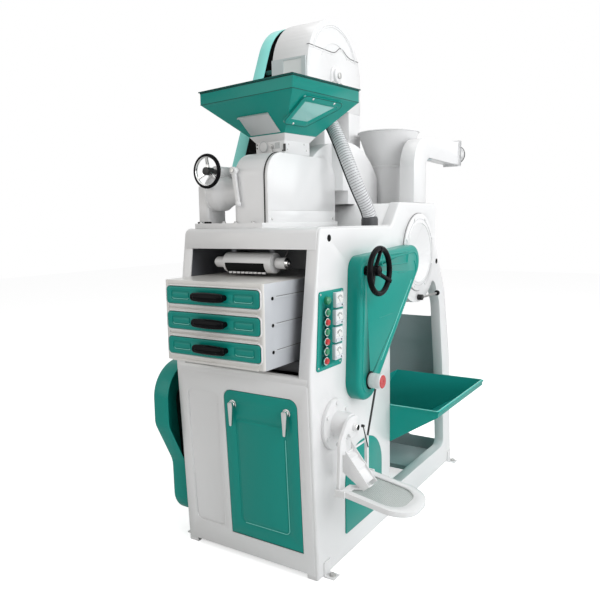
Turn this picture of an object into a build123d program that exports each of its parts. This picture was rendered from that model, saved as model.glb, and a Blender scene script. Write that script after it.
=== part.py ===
from build123d import *
import math
import os

# Combined rice mill: huller, bucket elevator, husk fan, paddy separator and whitener in one cabinet.
# All lengths in mm. X to the machine's right, Y to the rear, Z up. The origin lies on the floor, at
# the centre of the four foot bolts. "depth" is measured to the rear from the cabinet's front foot.

# Cabinet
CAB_WIDTH = 654
CAB_DEPTH = 1468
DECK_Z = 1335
SHEET = 4
PANEL_FLANGE = 50
PANEL_EDGE_R = 9
BELLY_FORWARD = 40
BELLY_Z = 800
BELLY_R = 250
BROW_BACK = 42
BROW_R = 25
RAMP_START = 660
RAMP_END = 750
HUMP_Z = 1441
HUMP_REAR = 1198
HUMP_FOOT_Z = 1240
LEG_KNEE = (1335, 1000)
LEG_SHIN = (1425, 640)
ARCH_FRONT = 640
ARCH_SILL_Z = 118
ARCH_TOP_Z = 1050
ARCH_CORNER_R = 40

# Foot brackets and floor bolts
FOOT_FRONT = 60
FOOT_REAR = 1430
FOOT_SIZE = 46
FOOT_T = 5
FOOT_HEIGHT = 60
FOOT_HOLE_R = 7
FOOT_HOLE_OUT = 26

RIGHT = CAB_WIDTH / 2
LEFT = -RIGHT
INNER = RIGHT - SHEET
FRONT_Y = -(FOOT_FRONT + FOOT_REAR) / 2

# Lower front panel and door
SKIN = 3
FRONT_MARGIN = 14
FRONT_LOW = 20
FRONT_HIGH = 772
DOOR_X = (-81, 267)
DOOR_S = (99, 711)
DOOR_CORNER_R = 36
DOOR_GAP = 2.5
DOOR_T = 6
GROOVE_INSET = 52
GROOVE_W = 12
GROOVE_DEPTH = 2
RECESS_X = (-272, -112)
RECESS_S = (112, 690)
RECESS_CORNER_R = 30
RECESS_DEPTH = 6
HEM_R = 5
HEM_PIN_R = 2.5
HEM_PIN_LENGTH = 16
HEM_LUG = 9
RUN_GAP = 0.05
LATCH_SPREAD = 254
LATCH_S = 655
LATCH_SHANK_R = 8
LATCH_ROSE_R = 17
LATCH_ROSE_T = 5
LATCH_LEVER = 84

# Rear sheet with its windows, and the rear bay's floor
REAR_SHEET_DEPTH = 1000
REAR_SHEET_Z = (24, 1180)
REAR_WINDOWS = (((20, 263), (831, 1010), 40), ((64, 284), (106, 300), 30))
FLOOR_DEPTH = (1085, 1380)
FLOOR_Z = (40, 64)

# Front opening and lintel
LINTEL_Z = 1258

# Separator box with three deck drawers
BOX_X = (-235, 230)
BOX_FRONT = -180
BOX_REAR = 420
BOX_TOP = 1149
BOX_WALL = 4
BOX_FACE_T = 14
DRAWER_COUNT = 3
DRAWER_FACE = (436, 66)
DRAWER_FACE_R = 14
DRAWER_FACE_T = 8
DRAWER_PITCH = 96
DRAWER_TOP_GAP = 55
DRAWER_LOW_GAP = 59
BOX_Z = (BOX_TOP - DRAWER_TOP_GAP - (DRAWER_COUNT - 1) * DRAWER_PITCH - DRAWER_LOW_GAP, BOX_TOP)
DRAWER_GAP = 1.5
DRAWER_LENGTH = 500
DRAWER_WALL = 3
DRAWER_SIDE_GAP = 0.5
PAD_SIZE = (92, 34)
PAD_OFFSET = 148
PAD_RAISE = 2.5
HANDLE_LENGTH = 128
HANDLE_R = 11
HANDLE_OUT = 26
BED_DEPTHS = (10, 330)
BED_WIDTH = 40
BED_HEIGHT = 42
SEAT_GAP = 0.3

# Feed spreader in the front opening
SPREADER_X = (-132, 101)
SPREADER_DEPTH = 84
SPREADER_Z = 1202
SPREADER_R = 40
SPREADER_SLOT_H = 34
SPREADER_KNOB_R = 22
SPREADER_KNOB_LENGTH = 44
SPREADER_SHAFT_R = 9
SPREADER_ROLL_R = 24
STRAP_W = 24

# Huller
PLINTH_X = (-285, 57)
PLINTH_DEPTH = (60, 652)
PLINTH_T = 20
HULLER_X = (-121, 35)
HULLER_DEPTH = (110, 644)
HULLER_TOP = 1637
HULLER_ARCH_R = 100
HULLER_WALL = 6
HULLER_EDGE_R = 22
COVER_T = 15
COVER_INSET = 1.5
COVER_SEAM_Z = 1405
ROLL_Z = 1500
ROLL_DEPTHS = (300, 455)
ROLL_R = 76
ROLL_X = (-110, 28)
SHAFT_R = 15
SHAFT_CLEAR = 5
BELL_DEPTH = 170
BELL_Z = 1485
BELL_X = -260
BRACKET_X = (-312, -258)
BRACKET_DEPTH = (112, 232)
BRACKET_TOP = 1512
SPINDLE_X = -216
SPINDLE_Z = 1568
SPINDLE_R = 10
SPINDLE_BOSS_R = 24
SPINDLE_BOSS_DEPTH = (118, 236)
FRONT_WHEEL_DEPTH = 66
FRONT_WHEEL_R = 70
LEVER_X = -104
LEVER_Z = 1566
LEVER_DROP = 132
LEVER_BALL_R = 12
LEVER_PIN_R = 6

# Hopper, neck and slide gate
NECK_X = (-119, 41)
NECK_DEPTH = (275, 435)
NECK_WALL = 4
NECK_FLARE_Z = 1690
NECK_TOP = 1716
NECK_FLARE = 20
HOPPER_WALL = 3
HOPPER_BAND_Z = 1847
HOPPER_RIM_Z = 1900
HOPPER_X = (-277, 230)
HOPPER_DEPTH = (111, 533)
HOPPER_TURN = -7.5
HOPPER_LIP = 5
GATE_X = (-122, 44)
GATE_T = 3
GATE_LENGTH = 100
GATE_GAP = 0.4
WINDOW_FRAME = 12
WINDOW_T = 5

# Bucket elevator
ELEV_X = (-246, -53)
LEG_DEPTHS = ((730, 850), (974, 1096))
ELEV_WALL = 4
BOOT_DEPTH = (704, 1122)
BOOT_Z = (64, 330)
HEAD_DEPTH = (583, 1100)
HEAD_Z = 1900
HEAD_CENTRE = (842, 2053)
HEAD_R = 258
HEAD_WINDOW_Z = (1925, 2010)
HEAD_PULLEY_R = 140
DRIVE_PULLEY_R = 70
GUARD_X = (-338, -278)
GUARD_TOP_R = 252
GUARD_FOOT = (470, 1540)
GUARD_FOOT_R = 110
GUARD_WALL = 3

# Clear hose from the elevator to the whitener inlet
HOSE_R = 30
HOSE_START = (-15, 634, 1893)
HOSE_WALL = 3
HOSE_POINTS = (
    (60, 596, 1797),
    (130, 547, 1704),
    (182, 536, 1593),
    (218, 551, 1494),
    (236, 588, 1430),
    (242, 611, 1402),
)
HOSE_END = (242, 611, 1366)
CUFF_R = 36
SPOUT_LENGTH = 90

# Husk duct, funnel, fan and outlet elbow
DUCT_X = (-43, 90)
DUCT_AT = (705, 1355)
DUCT_R = 362
DUCT_LEG = (697, 1001)
DUCT_MOUTH_Z = 1498
DUCT_GAP = 2
DUCT_WALL = 3
FAN_X = (-38, 323)
FAN_CENTRE = (963, 1204)
FAN_LOBE_R = 243
FAN_R = 233
FAN_COVER_R = 185
FAN_COVER_T = 8
IMPELLER_R = 190
IMPELLER_X = (20, 250)
BLADES = 10
FUNNEL_AT = (106, 1100)
FUNNEL_STEPS = ((1627, 74, 92), (1800, 92, 152))
FUNNEL_WALL = 3
ELBOW_X = (251, 323)
ELBOW_DEPTH = (915, 1068)
ELBOW_Z = (1663, 1745)
ELBOW_END = 1540
ELBOW_END_Z = (1656, 1779)
COLLAR_R = 50
COLLAR_LENGTH = 80

# Right belt guard, handwheel and knob
RGUARD_DEPTH = 60
RGUARD_EDGE_R = 18
RGUARD_WALL = 3
WHEEL_AT = (285, 1166)
WHEEL_R = 98
WHEEL_RIM_R = 11
WHEEL_OUT = 120
KNOB_AT = (319, 722)
KNOB_R = 30
KNOB_X = (62, 115)

# Left belt guard
LGUARD_X = (-433, -345)
LGUARD_TOP_Z = 780
LGUARD_LOW_Z = 85
LGUARD_DEPTH = (-80, 240)
LGUARD_FOOT_DEPTH = (18, 232)
LGUARD_WALL = 3

# Control plate
PLATE_T = 4
BUTTON_R = 11
BEZEL_R = 15.5
BEZEL_OUT = 10
BUTTON_PITCH = 36
BUTTON_TOP_Z = 1026
BUTTON_COUNT = 6
BUTTON_TRAVEL = 4
METER = 58
METER_T = 14
METER_PITCH = 66
METER_TOP_Z = 1066

# Whitener and its outlet
WHITENER_AT = (127, 587)
CHAMBER_R = 80
CHAMBER_WALL = 6
CHAMBER_X = (-233, 327)
FLANGE_R = 98
FLANGE_T = 14
NOSE_R = 50
NOSE_LENGTH = 62
ROLLER_R = 62
ARM_T = 12
TROUGH_X = (425, 694)
TROUGH_DEPTH = (2, 236)
TROUGH_Z = 384
TROUGH_TILT = 9
TROUGH_WALL = 22
TROUGH_TIP = 42
TROUGH_BAY_AT = (-34, 132)
TROUGH_BAY_R = 72
TROUGH_LIP = 20
CHUTE_DEPTH = (56, 126)
CHUTE_WALL = 3

# Intake tray
TRAY_X = (-53, 555)
TRAY_DEPTH = (ARCH_FRONT, 1286)
TRAY_RIM_Z = 530
TRAY_LOW_Z = 112
TRAY_WALL = 3

# Inspection cover
HATCH_DEPTH = (213, 546)
HATCH_LOW = 98
HATCH_T = 4
HATCH_SPRING_Z = 285

# Motor
MOTOR_AT = (135, 200)
MOTOR_R = 95
MOTOR_X = (-190, 150)
MOTOR_BASE_Z = 70
MOTOR_PULLEY_R = 52
ROLLER_PULLEY_R = 84
BELT_T = 6
BELT_X = (-412, -388)

# Air lever
AIR_AT = (965, 985)
AIR_LENGTH = 210
AIR_PIN_R = 6


# Helpers


def yd(depth):
    """Y of a depth behind the cabinet's front foot."""
    return FRONT_Y + depth


def side_plane(x):
    """Plane facing +X at x; its own axes are depth and height."""
    return Plane(origin=(x, FRONT_Y, 0), x_dir=(0, 1, 0), z_dir=(1, 0, 0))


def face_plane(depth):
    """Plane facing the front at a depth; its own axes are X and height."""
    return Plane(origin=(0, yd(depth), 0), x_dir=(1, 0, 0), z_dir=(0, -1, 0))


def level_plane(z):
    """Horizontal plane at a height; its own axes are X and depth."""
    return Plane(origin=(0, FRONT_Y, z))


def rounded(*corners):
    """Closed face through corners given as (u, v, corner radius)."""
    points = [(u, v) for u, v, r in corners]
    radii = [r for u, v, r in corners]
    return make_face(FilletPolyline(*points, radius=radii, close=True))


def rect(u, v, r=0):
    """Rectangle from ranges u and v with corner radius r."""
    return rounded((u[0], v[0], r), (u[1], v[0], r), (u[1], v[1], r), (u[0], v[1], r))


def slab(face, x0, x1):
    """Side face extruded from x0 to x1."""
    return extrude(side_plane(x0) * face, x1 - x0)


def block(x, depth, z):
    """Box from ranges in X, depth and height."""
    return slab(rect(depth, z), x[0], x[1])


def x_rod(at, r, x0, x1):
    """Round bar along X at (depth, height)."""
    return extrude(side_plane(x0) * Pos(at[0], at[1]) * Circle(r), x1 - x0)


def y_rod(at, r, d0, d1):
    """Round bar along the depth at (x, height)."""
    return extrude(face_plane(d1) * Pos(at[0], at[1]) * Circle(r), d1 - d0)


def z_rod(at, r, z0, z1):
    """Round bar along Z at (x, depth)."""
    return extrude(level_plane(z0) * Pos(at[0], at[1]) * Circle(r), z1 - z0)


def belt_hull(a, ra, b, rb):
    """Face of two circles and the outer tangents that join them."""
    dx = b[0] - a[0]
    dy = b[1] - a[1]
    span = math.hypot(dx, dy)
    turn = math.asin((ra - rb) / span)
    heading = math.atan2(dy, dx)
    left = heading + math.pi / 2 - turn
    right = heading - math.pi / 2 + turn

    def on(c, r, angle):
        return (c[0] + r * math.cos(angle), c[1] + r * math.sin(angle))

    upper = Line(on(a, ra, left), on(b, rb, left))
    nose = ThreePointArc(on(b, rb, left), on(b, rb, heading), on(b, rb, right))
    lower = Line(on(b, rb, right), on(a, ra, right))
    tail = ThreePointArc(on(a, ra, right), on(a, ra, heading + math.pi), on(a, ra, left))
    return make_face([upper, nose, lower, tail])


LEAN = math.atan2(BELLY_FORWARD, BELLY_Z)
FRONT = Plane(origin=(0, FRONT_Y, 0), x_dir=(1, 0, 0), z_dir=(0, -math.cos(LEAN), -math.sin(LEAN)))


def on_front(face, low, high):
    """Face in the leaning front plane, extruded between two heights above that plane."""
    return extrude(FRONT.offset(low) * face, high - low)


# Cabinet


def side_outline(hump):
    """Outline of a side panel; the right one rises over the fan."""
    foot = [(0, 0, 0), (-BELLY_FORWARD, BELLY_Z, BELLY_R), (BROW_BACK, DECK_Z, BROW_R)]
    rise = [(RAMP_START, DECK_Z, 30), (RAMP_END, HUMP_Z, 30), (HUMP_REAR, HUMP_Z, 20)]
    plain = [(HUMP_REAR, DECK_Z, 20)]
    tail = [(HUMP_REAR, HUMP_FOOT_Z, 50), (*LEG_KNEE, 220), (*LEG_SHIN, 400), (CAB_DEPTH, 0, 0)]
    corners = foot + (rise if hump else plain) + tail
    return rounded(*reversed(corners))


def arch_opening():
    """Arched opening behind the front bay, with the fan's lobe hanging into its top."""
    arch = rounded(
        (ARCH_FRONT, ARCH_SILL_Z, ARCH_CORNER_R),
        (CAB_DEPTH - 122, ARCH_SILL_Z, ARCH_CORNER_R),
        (LEG_SHIN[0] - 110, LEG_SHIN[1] - 80, 400),
        (LEG_KNEE[0] - 76, LEG_KNEE[1] - 70, 150),
        (LEG_KNEE[0] - 150, ARCH_TOP_Z, 62),
        (ARCH_FRONT, ARCH_TOP_Z, 60),
    )
    return arch - Pos(*FAN_CENTRE) * Circle(FAN_LOBE_R)


def side_panel(hump):
    """Pressed right-hand side panel with folded edges around its outline and its arch."""
    outline = side_outline(hump)
    arch = arch_opening()
    shell = slab(outline, RIGHT - PANEL_FLANGE, RIGHT)
    rim = shell.faces().sort_by(Axis.X)[-1].outer_wire().edges()
    shell = fillet(rim, PANEL_EDGE_R)
    shell -= slab(offset(outline, -SHEET), RIGHT - PANEL_FLANGE, INNER)
    fold = slab(offset(arch, SHEET), RIGHT - PANEL_FLANGE, RIGHT - 1)
    shell += fold & slab(offset(outline, -SHEET), RIGHT - PANEL_FLANGE, RIGHT)
    return shell - slab(arch, RIGHT - PANEL_FLANGE, RIGHT)


def right_side_panel():
    """Right panel with the whitener's hole, the fan's eye and the spindle holes."""
    panel = side_panel(True)
    panel -= x_rod(WHITENER_AT, CHAMBER_R, INNER - 1, RIGHT)
    panel -= x_rod(AIR_AT, AIR_PIN_R + RUN_GAP, INNER, RIGHT)
    panel -= x_rod(WHEEL_AT, SPINDLE_R + RUN_GAP, INNER, RIGHT)
    return panel - x_rod(FAN_CENTRE, FAN_COVER_R - 30, INNER - 1, RIGHT)


def left_side_panel():
    """Left panel, the right one's mirror image without the fan's hump."""
    panel = mirror(side_panel(False), Plane.YZ)
    for at in (WHITENER_AT, MOTOR_AT):
        panel -= x_rod(at, SHAFT_R + SHAFT_CLEAR, LEFT, -INNER)
    return panel


def front_panel():
    """Leaning lower front with a door opening, a pressed recess and the door's pivot lugs."""
    sheet = on_front(rect((LEFT + FRONT_MARGIN, RIGHT - FRONT_MARGIN), (FRONT_LOW, FRONT_HIGH)), 0, SKIN)
    pocket = rect(RECESS_X, RECESS_S, RECESS_CORNER_R)
    sheet += on_front(offset(pocket, SKIN), -RECESS_DEPTH, SKIN)
    sheet -= on_front(pocket, SKIN - RECESS_DEPTH, SKIN)
    opening = rounded(
        (DOOR_X[0], DOOR_S[0], 0),
        (DOOR_X[1], DOOR_S[0], 0),
        (DOOR_X[1], DOOR_S[1], DOOR_CORNER_R),
        (DOOR_X[0], DOOR_S[1], DOOR_CORNER_R),
    )
    sheet -= on_front(opening, -DOOR_T, SKIN)
    for x, inward in ((DOOR_X[0], 1), (DOOR_X[1], -1)):
        lug_x = sorted((x, x - inward * HEM_LUG))
        lug_s = (HEM_S - HEM_R, HEM_S + HEM_R)
        sheet += on_front(rect(lug_x, lug_s), HEM_N - HEM_R, 0)
        pin_x = sorted((x - inward * HEM_LUG, x + inward * HEM_PIN_LENGTH))
        sheet += hem_rod(HEM_PIN_R, *pin_x)
    return sheet


HEM_S = DOOR_S[0] + DOOR_GAP + HEM_R
HEM_N = SKIN - HEM_R


def hem_rod(r, x0, x1):
    """Round bar along X on the door's pivot line."""
    at = FRONT.from_local_coords((0, HEM_S, HEM_N))
    plane = Plane(origin=(x0, at.Y, at.Z), x_dir=(0, 1, 0), z_dir=(1, 0, 0))
    return extrude(plane * Circle(r), x1 - x0)


def front_door():
    """Door with a pressed groove and a hem along its lower edge that turns on two pins."""
    x = (DOOR_X[0] + DOOR_GAP, DOOR_X[1] - DOOR_GAP)
    s = (DOOR_S[0] + DOOR_GAP, DOOR_S[1] - DOOR_GAP)
    radius = DOOR_CORNER_R - DOOR_GAP
    outline = rounded((x[0], HEM_S, 0), (x[1], HEM_S, 0), (x[1], s[1], radius), (x[0], s[1], radius))
    door = on_front(outline, SKIN - DOOR_T, SKIN)
    across = (x[0] + GROOVE_INSET, x[1] - GROOVE_INSET)
    field = rect(across, (s[0] + GROOVE_INSET, s[1] - 2 * GROOVE_INSET), 26)
    door -= on_front(field - offset(field, -GROOVE_W), SKIN - GROOVE_DEPTH, SKIN)
    door += hem_rod(HEM_R, *x)
    for x_end, inward in ((x[0], 1), (x[1], -1)):
        ends = sorted((x_end, x_end + inward * (HEM_PIN_LENGTH + SKIN)))
        door -= hem_rod(HEM_PIN_R + RUN_GAP, *ends)
    for lx in latch_places():
        door -= on_front(Pos(lx, LATCH_S) * Circle(LATCH_SHANK_R + RUN_GAP), SKIN - DOOR_T, SKIN)
    return door


def latch_places():
    """X of the two latches."""
    middle = (DOOR_X[0] + DOOR_X[1]) / 2
    return (middle - LATCH_SPREAD / 2, middle + LATCH_SPREAD / 2)


def latch(x):
    """Round rose on a shank with an L lever that hangs down."""
    at = Pos(x, LATCH_S)
    body = on_front(at * Circle(LATCH_SHANK_R), SKIN - DOOR_T - 6, SKIN + 22)
    body += on_front(at * Circle(LATCH_ROSE_R), SKIN + SEAT_GAP, SKIN + LATCH_ROSE_T)
    blade = rounded((-10, 12, 8), (-7, -LATCH_LEVER, 3), (3, -LATCH_LEVER, 3), (12, -8, 8), (12, 12, 8))
    return body + on_front(at * blade, SKIN + 14, SKIN + 24)


def top_deck():
    """Bent sheet over the cabinet: the deck, its rounded front edge and the lintel below it."""
    outline = side_outline(False)
    skin = offset(outline, SKIN) - outline
    sheet = slab(skin & rect((-100, HUMP_REAR - 30), (LINTEL_Z, DECK_Z + 2 * SKIN)), LEFT + 12, RIGHT - 12)
    sheet -= block((FAN_X[0] - 8, RIGHT), (RAMP_START - 16, CAB_DEPTH), (LINTEL_Z, DECK_Z + 2 * SKIN))
    for leg in LEG_DEPTHS:
        sheet -= block(ELEV_X, leg, (LINTEL_Z, DECK_Z + 2 * SKIN))
    sheet -= block((NECK_X[0], NECK_X[1]), NECK_DEPTH, (LINTEL_Z, DECK_Z + 2 * SKIN))
    spigot = z_rod(HOSE_END[:2], HOSE_R + SKIN, DECK_Z, HOSE_END[2])
    return sheet + spigot - z_rod(HOSE_END[:2], HOSE_R - SKIN, DECK_Z - 10, HOSE_END[2])


def rear_panel():
    """Curved sheet between the rear legs with two rounded windows."""
    outline = side_outline(False)
    skin = offset(outline, -SHEET) - offset(outline, -2 * SHEET)
    span = (-INNER + SEAT_GAP, INNER - SEAT_GAP)
    sheet = slab(skin & rect((REAR_SHEET_DEPTH, CAB_DEPTH), REAR_SHEET_Z), *span)
    for x, z, radius in REAR_WINDOWS:
        sheet -= extrude(face_plane(CAB_DEPTH) * rect(x, z, radius), CAB_DEPTH - REAR_SHEET_DEPTH)
    return sheet


def floor_plate():
    """Grey floor of the rear bay with a folded front lip."""
    (front, rear), (low, top) = FLOOR_DEPTH, FLOOR_Z
    plate = rect((front, rear), (top - SHEET, top)) + rect((front, front + SHEET), (low, top))
    return slab(plate, -INNER, INNER)


def foot_brackets():
    """Four angle brackets with a floor bolt hole each."""
    feet = []
    for side in (1, -1):
        for depth in (FOOT_FRONT, FOOT_REAR):
            span = (depth - FOOT_SIZE / 2, depth + FOOT_SIZE / 2)
            tab = block((RIGHT, RIGHT + FOOT_SIZE), span, (0, FOOT_T))
            tab += slab(rect(span, (0, FOOT_HEIGHT)), RIGHT, RIGHT + FOOT_T)
            tab -= z_rod((RIGHT + FOOT_HOLE_OUT, depth), FOOT_HOLE_R, 0, FOOT_T)
            feet.append(tab if side > 0 else mirror(tab, Plane.YZ))
    return feet


# Separator


def separator_bed():
    """Two cross beams between the side panels that carry the separator box."""
    top = BOX_Z[0] - SEAT_GAP
    return [block((-INNER, INNER), (d, d + BED_WIDTH), (top - BED_HEIGHT, top)) for d in BED_DEPTHS]


def drawer_z(index):
    """Middle height of a drawer, counted from the top."""
    return BOX_Z[1] - DRAWER_TOP_GAP - index * DRAWER_PITCH


BOX_MIDDLE = (BOX_X[0] + BOX_X[1]) / 2


def drawer_range():
    """X range of a drawer's face."""
    return (BOX_MIDDLE - DRAWER_FACE[0] / 2, BOX_MIDDLE + DRAWER_FACE[0] / 2)


def sieve_box():
    """Separator casing with a thick face, three drawer bays and side ribs."""
    shell = block(BOX_X, (BOX_FRONT, BOX_REAR), BOX_Z)
    corners = shell.edges().filter_by(Axis.Z).group_by(Axis.Y)[0]
    shell = fillet(corners, 12)
    inside_x = (BOX_X[0] + BOX_WALL, BOX_X[1] - BOX_WALL)
    inside_d = (BOX_FRONT + BOX_FACE_T, BOX_REAR - BOX_WALL)
    shell -= block(inside_x, inside_d, (BOX_Z[0] + BOX_WALL, BOX_Z[1] - BOX_WALL))
    for index in range(DRAWER_COUNT):
        shelf = drawer_z(index) - DRAWER_FACE[1] / 2
        shell += block(inside_x, inside_d, (shelf - BOX_WALL, shelf))
    for index in range(DRAWER_COUNT):
        z = (drawer_z(index) - DRAWER_FACE[1] / 2, drawer_z(index) + DRAWER_FACE[1] / 2)
        bay = rect(drawer_range(), z, DRAWER_FACE_R)
        shell -= extrude(face_plane(BOX_FRONT + BOX_FACE_T) * bay, BOX_FACE_T)
        for side, x in ((-1, BOX_X[0]), (1, BOX_X[1])):
            line = (BOX_FRONT + 60, BOX_REAR - 40)
            rib = sorted((x, x + side * 2))
            shell += block(rib, line, (drawer_z(index) - 4, drawer_z(index) + 4))
    for low in range(1, DRAWER_COUNT):
        z = drawer_z(low) + DRAWER_PITCH / 2
        shell -= block((BOX_X[0] + 18, BOX_X[1] - 18), (BOX_FRONT, BOX_FRONT + 3), (z - 4, z + 4))
    return shell


def drawer(index):
    """Deck drawer: face with two pressed pads, deck tray behind it and a black bow handle."""
    z = drawer_z(index)
    half = DRAWER_FACE[1] / 2 - DRAWER_GAP
    x = (drawer_range()[0] + DRAWER_GAP, drawer_range()[1] - DRAWER_GAP)
    face = rect(x, (z - half, z + half), DRAWER_FACE_R - DRAWER_GAP)
    front = extrude(face_plane(BOX_FRONT + DRAWER_FACE_T - 5) * face, DRAWER_FACE_T)
    for side in (-1, 1):
        middle = BOX_MIDDLE + side * PAD_OFFSET
        pad = Pos(middle, z) * RectangleRounded(*PAD_SIZE, 10)
        front -= extrude(face_plane(BOX_FRONT - 5 + PAD_RAISE) * (pad - offset(pad, -7)), PAD_RAISE)
    depth = (BOX_FRONT + DRAWER_FACE_T - 5, BOX_FRONT + DRAWER_LENGTH)
    wide = drawer_range()
    span = (wide[0] + DRAWER_FACE_R, wide[1] - DRAWER_FACE_R)
    low = z - DRAWER_FACE[1] / 2 + DRAWER_SIDE_GAP
    tray = block(span, depth, (low, z + half - 10))
    hollow = ((span[0] + DRAWER_WALL, span[1] - DRAWER_WALL), (depth[0], depth[1] - DRAWER_WALL))
    tray -= block(*hollow, (low + DRAWER_WALL, z + half))
    path = FilletPolyline(
        (BOX_MIDDLE - HANDLE_LENGTH / 2, 0),
        (BOX_MIDDLE - HANDLE_LENGTH / 2, HANDLE_OUT),
        (BOX_MIDDLE + HANDLE_LENGTH / 2, HANDLE_OUT),
        (BOX_MIDDLE + HANDLE_LENGTH / 2, 0),
        radius=HANDLE_OUT * 0.6,
    )
    handle_plane = Plane(origin=(0, yd(BOX_FRONT - 5), z), x_dir=(1, 0, 0), z_dir=(0, 0, -1))
    spine = handle_plane * path
    section = Plane(origin=spine @ 0, z_dir=spine % 0) * Circle(HANDLE_R)
    return [front + tray, sweep(section, path=spine)]


def feed_spreader():
    """Rounded hood with a long slot, hung from the lintel by two straps."""
    at = (SPREADER_DEPTH, SPREADER_Z)
    hood = x_rod(at, SPREADER_R, *SPREADER_X)
    hood -= x_rod(at, SPREADER_ROLL_R + 4, SPREADER_X[0] + SHEET, SPREADER_X[1] - SHEET)
    slot_x = (SPREADER_X[0] + 18, SPREADER_X[1] - 40)
    slot_z = (SPREADER_Z - SPREADER_SLOT_H, SPREADER_Z)
    hood -= block(slot_x, (SPREADER_DEPTH - SPREADER_R - 1, SPREADER_DEPTH), slot_z)
    hood -= x_rod(at, SPREADER_SHAFT_R + RUN_GAP, SPREADER_X[0], SPREADER_X[1])
    for x in (SPREADER_X[0] + 10, SPREADER_X[1] - 10 - STRAP_W):
        depth = (SPREADER_DEPTH + 8, SPREADER_DEPTH + 8 + SHEET)
        hood += block((x, x + STRAP_W), depth, (SPREADER_Z + 34, DECK_Z))
    return hood


def spreader_shaft():
    """Feed roll on a shaft with a knurled knob at each end."""
    at = (SPREADER_DEPTH, SPREADER_Z)
    ends = (SPREADER_X[0] - 8 - SPREADER_KNOB_LENGTH, SPREADER_X[1] + 8 + SPREADER_KNOB_LENGTH)
    shaft = x_rod(at, SPREADER_SHAFT_R, *ends)
    shaft += x_rod(at, SPREADER_ROLL_R, SPREADER_X[0] + 2 * SHEET, SPREADER_X[1] - 2 * SHEET)
    for x0 in (ends[0], ends[1] - SPREADER_KNOB_LENGTH):
        shaft += x_rod(at, SPREADER_KNOB_R, x0, x0 + SPREADER_KNOB_LENGTH)
    return shaft


# Huller


def huller_arch(inset, low):
    """Arched side outline of the huller, drawn in by inset, from a height up."""
    front = HULLER_DEPTH[0] + inset
    rear = HULLER_DEPTH[1] - inset
    top = HULLER_TOP - inset
    radius = HULLER_ARCH_R - inset
    return rounded((front, low, 0), (rear, low, 0), (rear, top, radius), (front, top, radius))


PLINTH_Z = DECK_Z + SKIN


def huller_housing():
    """Arched shell on its plinth, open to the right, with the roll shafts' bores."""
    base = PLINTH_Z + PLINTH_T
    shell = slab(huller_arch(0, base), *HULLER_X)
    rim = shell.faces().sort_by(Axis.X)[0].edges().filter_by(lambda e: e.center().Z > base + 1)
    shell = fillet(rim, HULLER_EDGE_R)
    shell += block(PLINTH_X, PLINTH_DEPTH, (PLINTH_Z, base))
    shell -= slab(huller_arch(HULLER_WALL, base), HULLER_X[0] + HULLER_WALL, HULLER_X[1])
    shell -= block(NECK_X, NECK_DEPTH, (PLINTH_Z, base))
    mouth = ((NECK_X[0] + NECK_WALL, HULLER_X[1]), (NECK_DEPTH[0] + NECK_WALL, NECK_DEPTH[1] - NECK_WALL))
    shell -= block(*mouth, (HULLER_TOP - 2 * HULLER_WALL, HULLER_TOP))
    for depth in ROLL_DEPTHS:
        shell -= x_rod((depth, ROLL_Z), SHAFT_R + RUN_GAP, HULLER_X[0], HULLER_X[0] + HULLER_WALL)
    pivot = (HULLER_DEPTH[0], HULLER_DEPTH[0] + 4 * HULLER_WALL)
    shell -= y_rod((LEVER_X, LEVER_Z), LEVER_PIN_R + RUN_GAP, *pivot)
    return shell


def huller_side_cover():
    """Right-hand cover of the huller with its low seam."""
    base = PLINTH_Z + PLINTH_T
    cover = slab(huller_arch(COVER_INSET, base), HULLER_X[1], HULLER_X[1] + COVER_T)
    face = HULLER_X[1] + COVER_T
    seam = block((face - 2, face), HULLER_DEPTH, (COVER_SEAM_Z - 1.5, COVER_SEAM_Z + 1.5))
    return cover - seam


def huller_roll(index):
    """Rubber roll on its shaft; the outer end carries a bearing in the housing."""
    at = (ROLL_DEPTHS[index], ROLL_Z)
    roll = x_rod(at, ROLL_R, *ROLL_X)
    return roll + x_rod(at, SHAFT_R, HULLER_X[0] - 30, ROLL_X[1] + 6)


def huller_bearing_housing():
    """Bell-shaped bearing housing, its bracket on the plinth and the spindle's boss."""
    base = PLINTH_Z + PLINTH_T
    wall = HULLER_X[0]
    profile = Polyline(
        (wall, 0),
        (wall, 46),
        (wall - 26, 50),
        (wall - 60, 58),
        (wall - 92, 76),
        (BELL_X, 78),
        (BELL_X, 0),
        close=True,
    )
    bell_plane = Plane(origin=(0, yd(BELL_DEPTH), BELL_Z), x_dir=(1, 0, 0), z_dir=(0, -1, 0))
    bell = revolve(bell_plane * make_face(profile), Axis((0, yd(BELL_DEPTH), BELL_Z), (1, 0, 0)))
    bracket = block(BRACKET_X, BRACKET_DEPTH, (base, BRACKET_TOP))
    rims = bracket.edges().filter_by(Axis.Z)
    bracket = fillet(rims, 12)
    arm_z = (BELL_Z + 20, SPINDLE_Z)
    arm = block((BELL_X - 6, SPINDLE_X + 14), (BRACKET_DEPTH[0] + 20, BRACKET_DEPTH[1] - 20), arm_z)
    boss = y_rod((SPINDLE_X, SPINDLE_Z), SPINDLE_BOSS_R, *SPINDLE_BOSS_DEPTH)
    housing = bell + bracket + arm + boss
    return housing - y_rod((SPINDLE_X, SPINDLE_Z), SPINDLE_R + RUN_GAP, *SPINDLE_BOSS_DEPTH)


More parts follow.
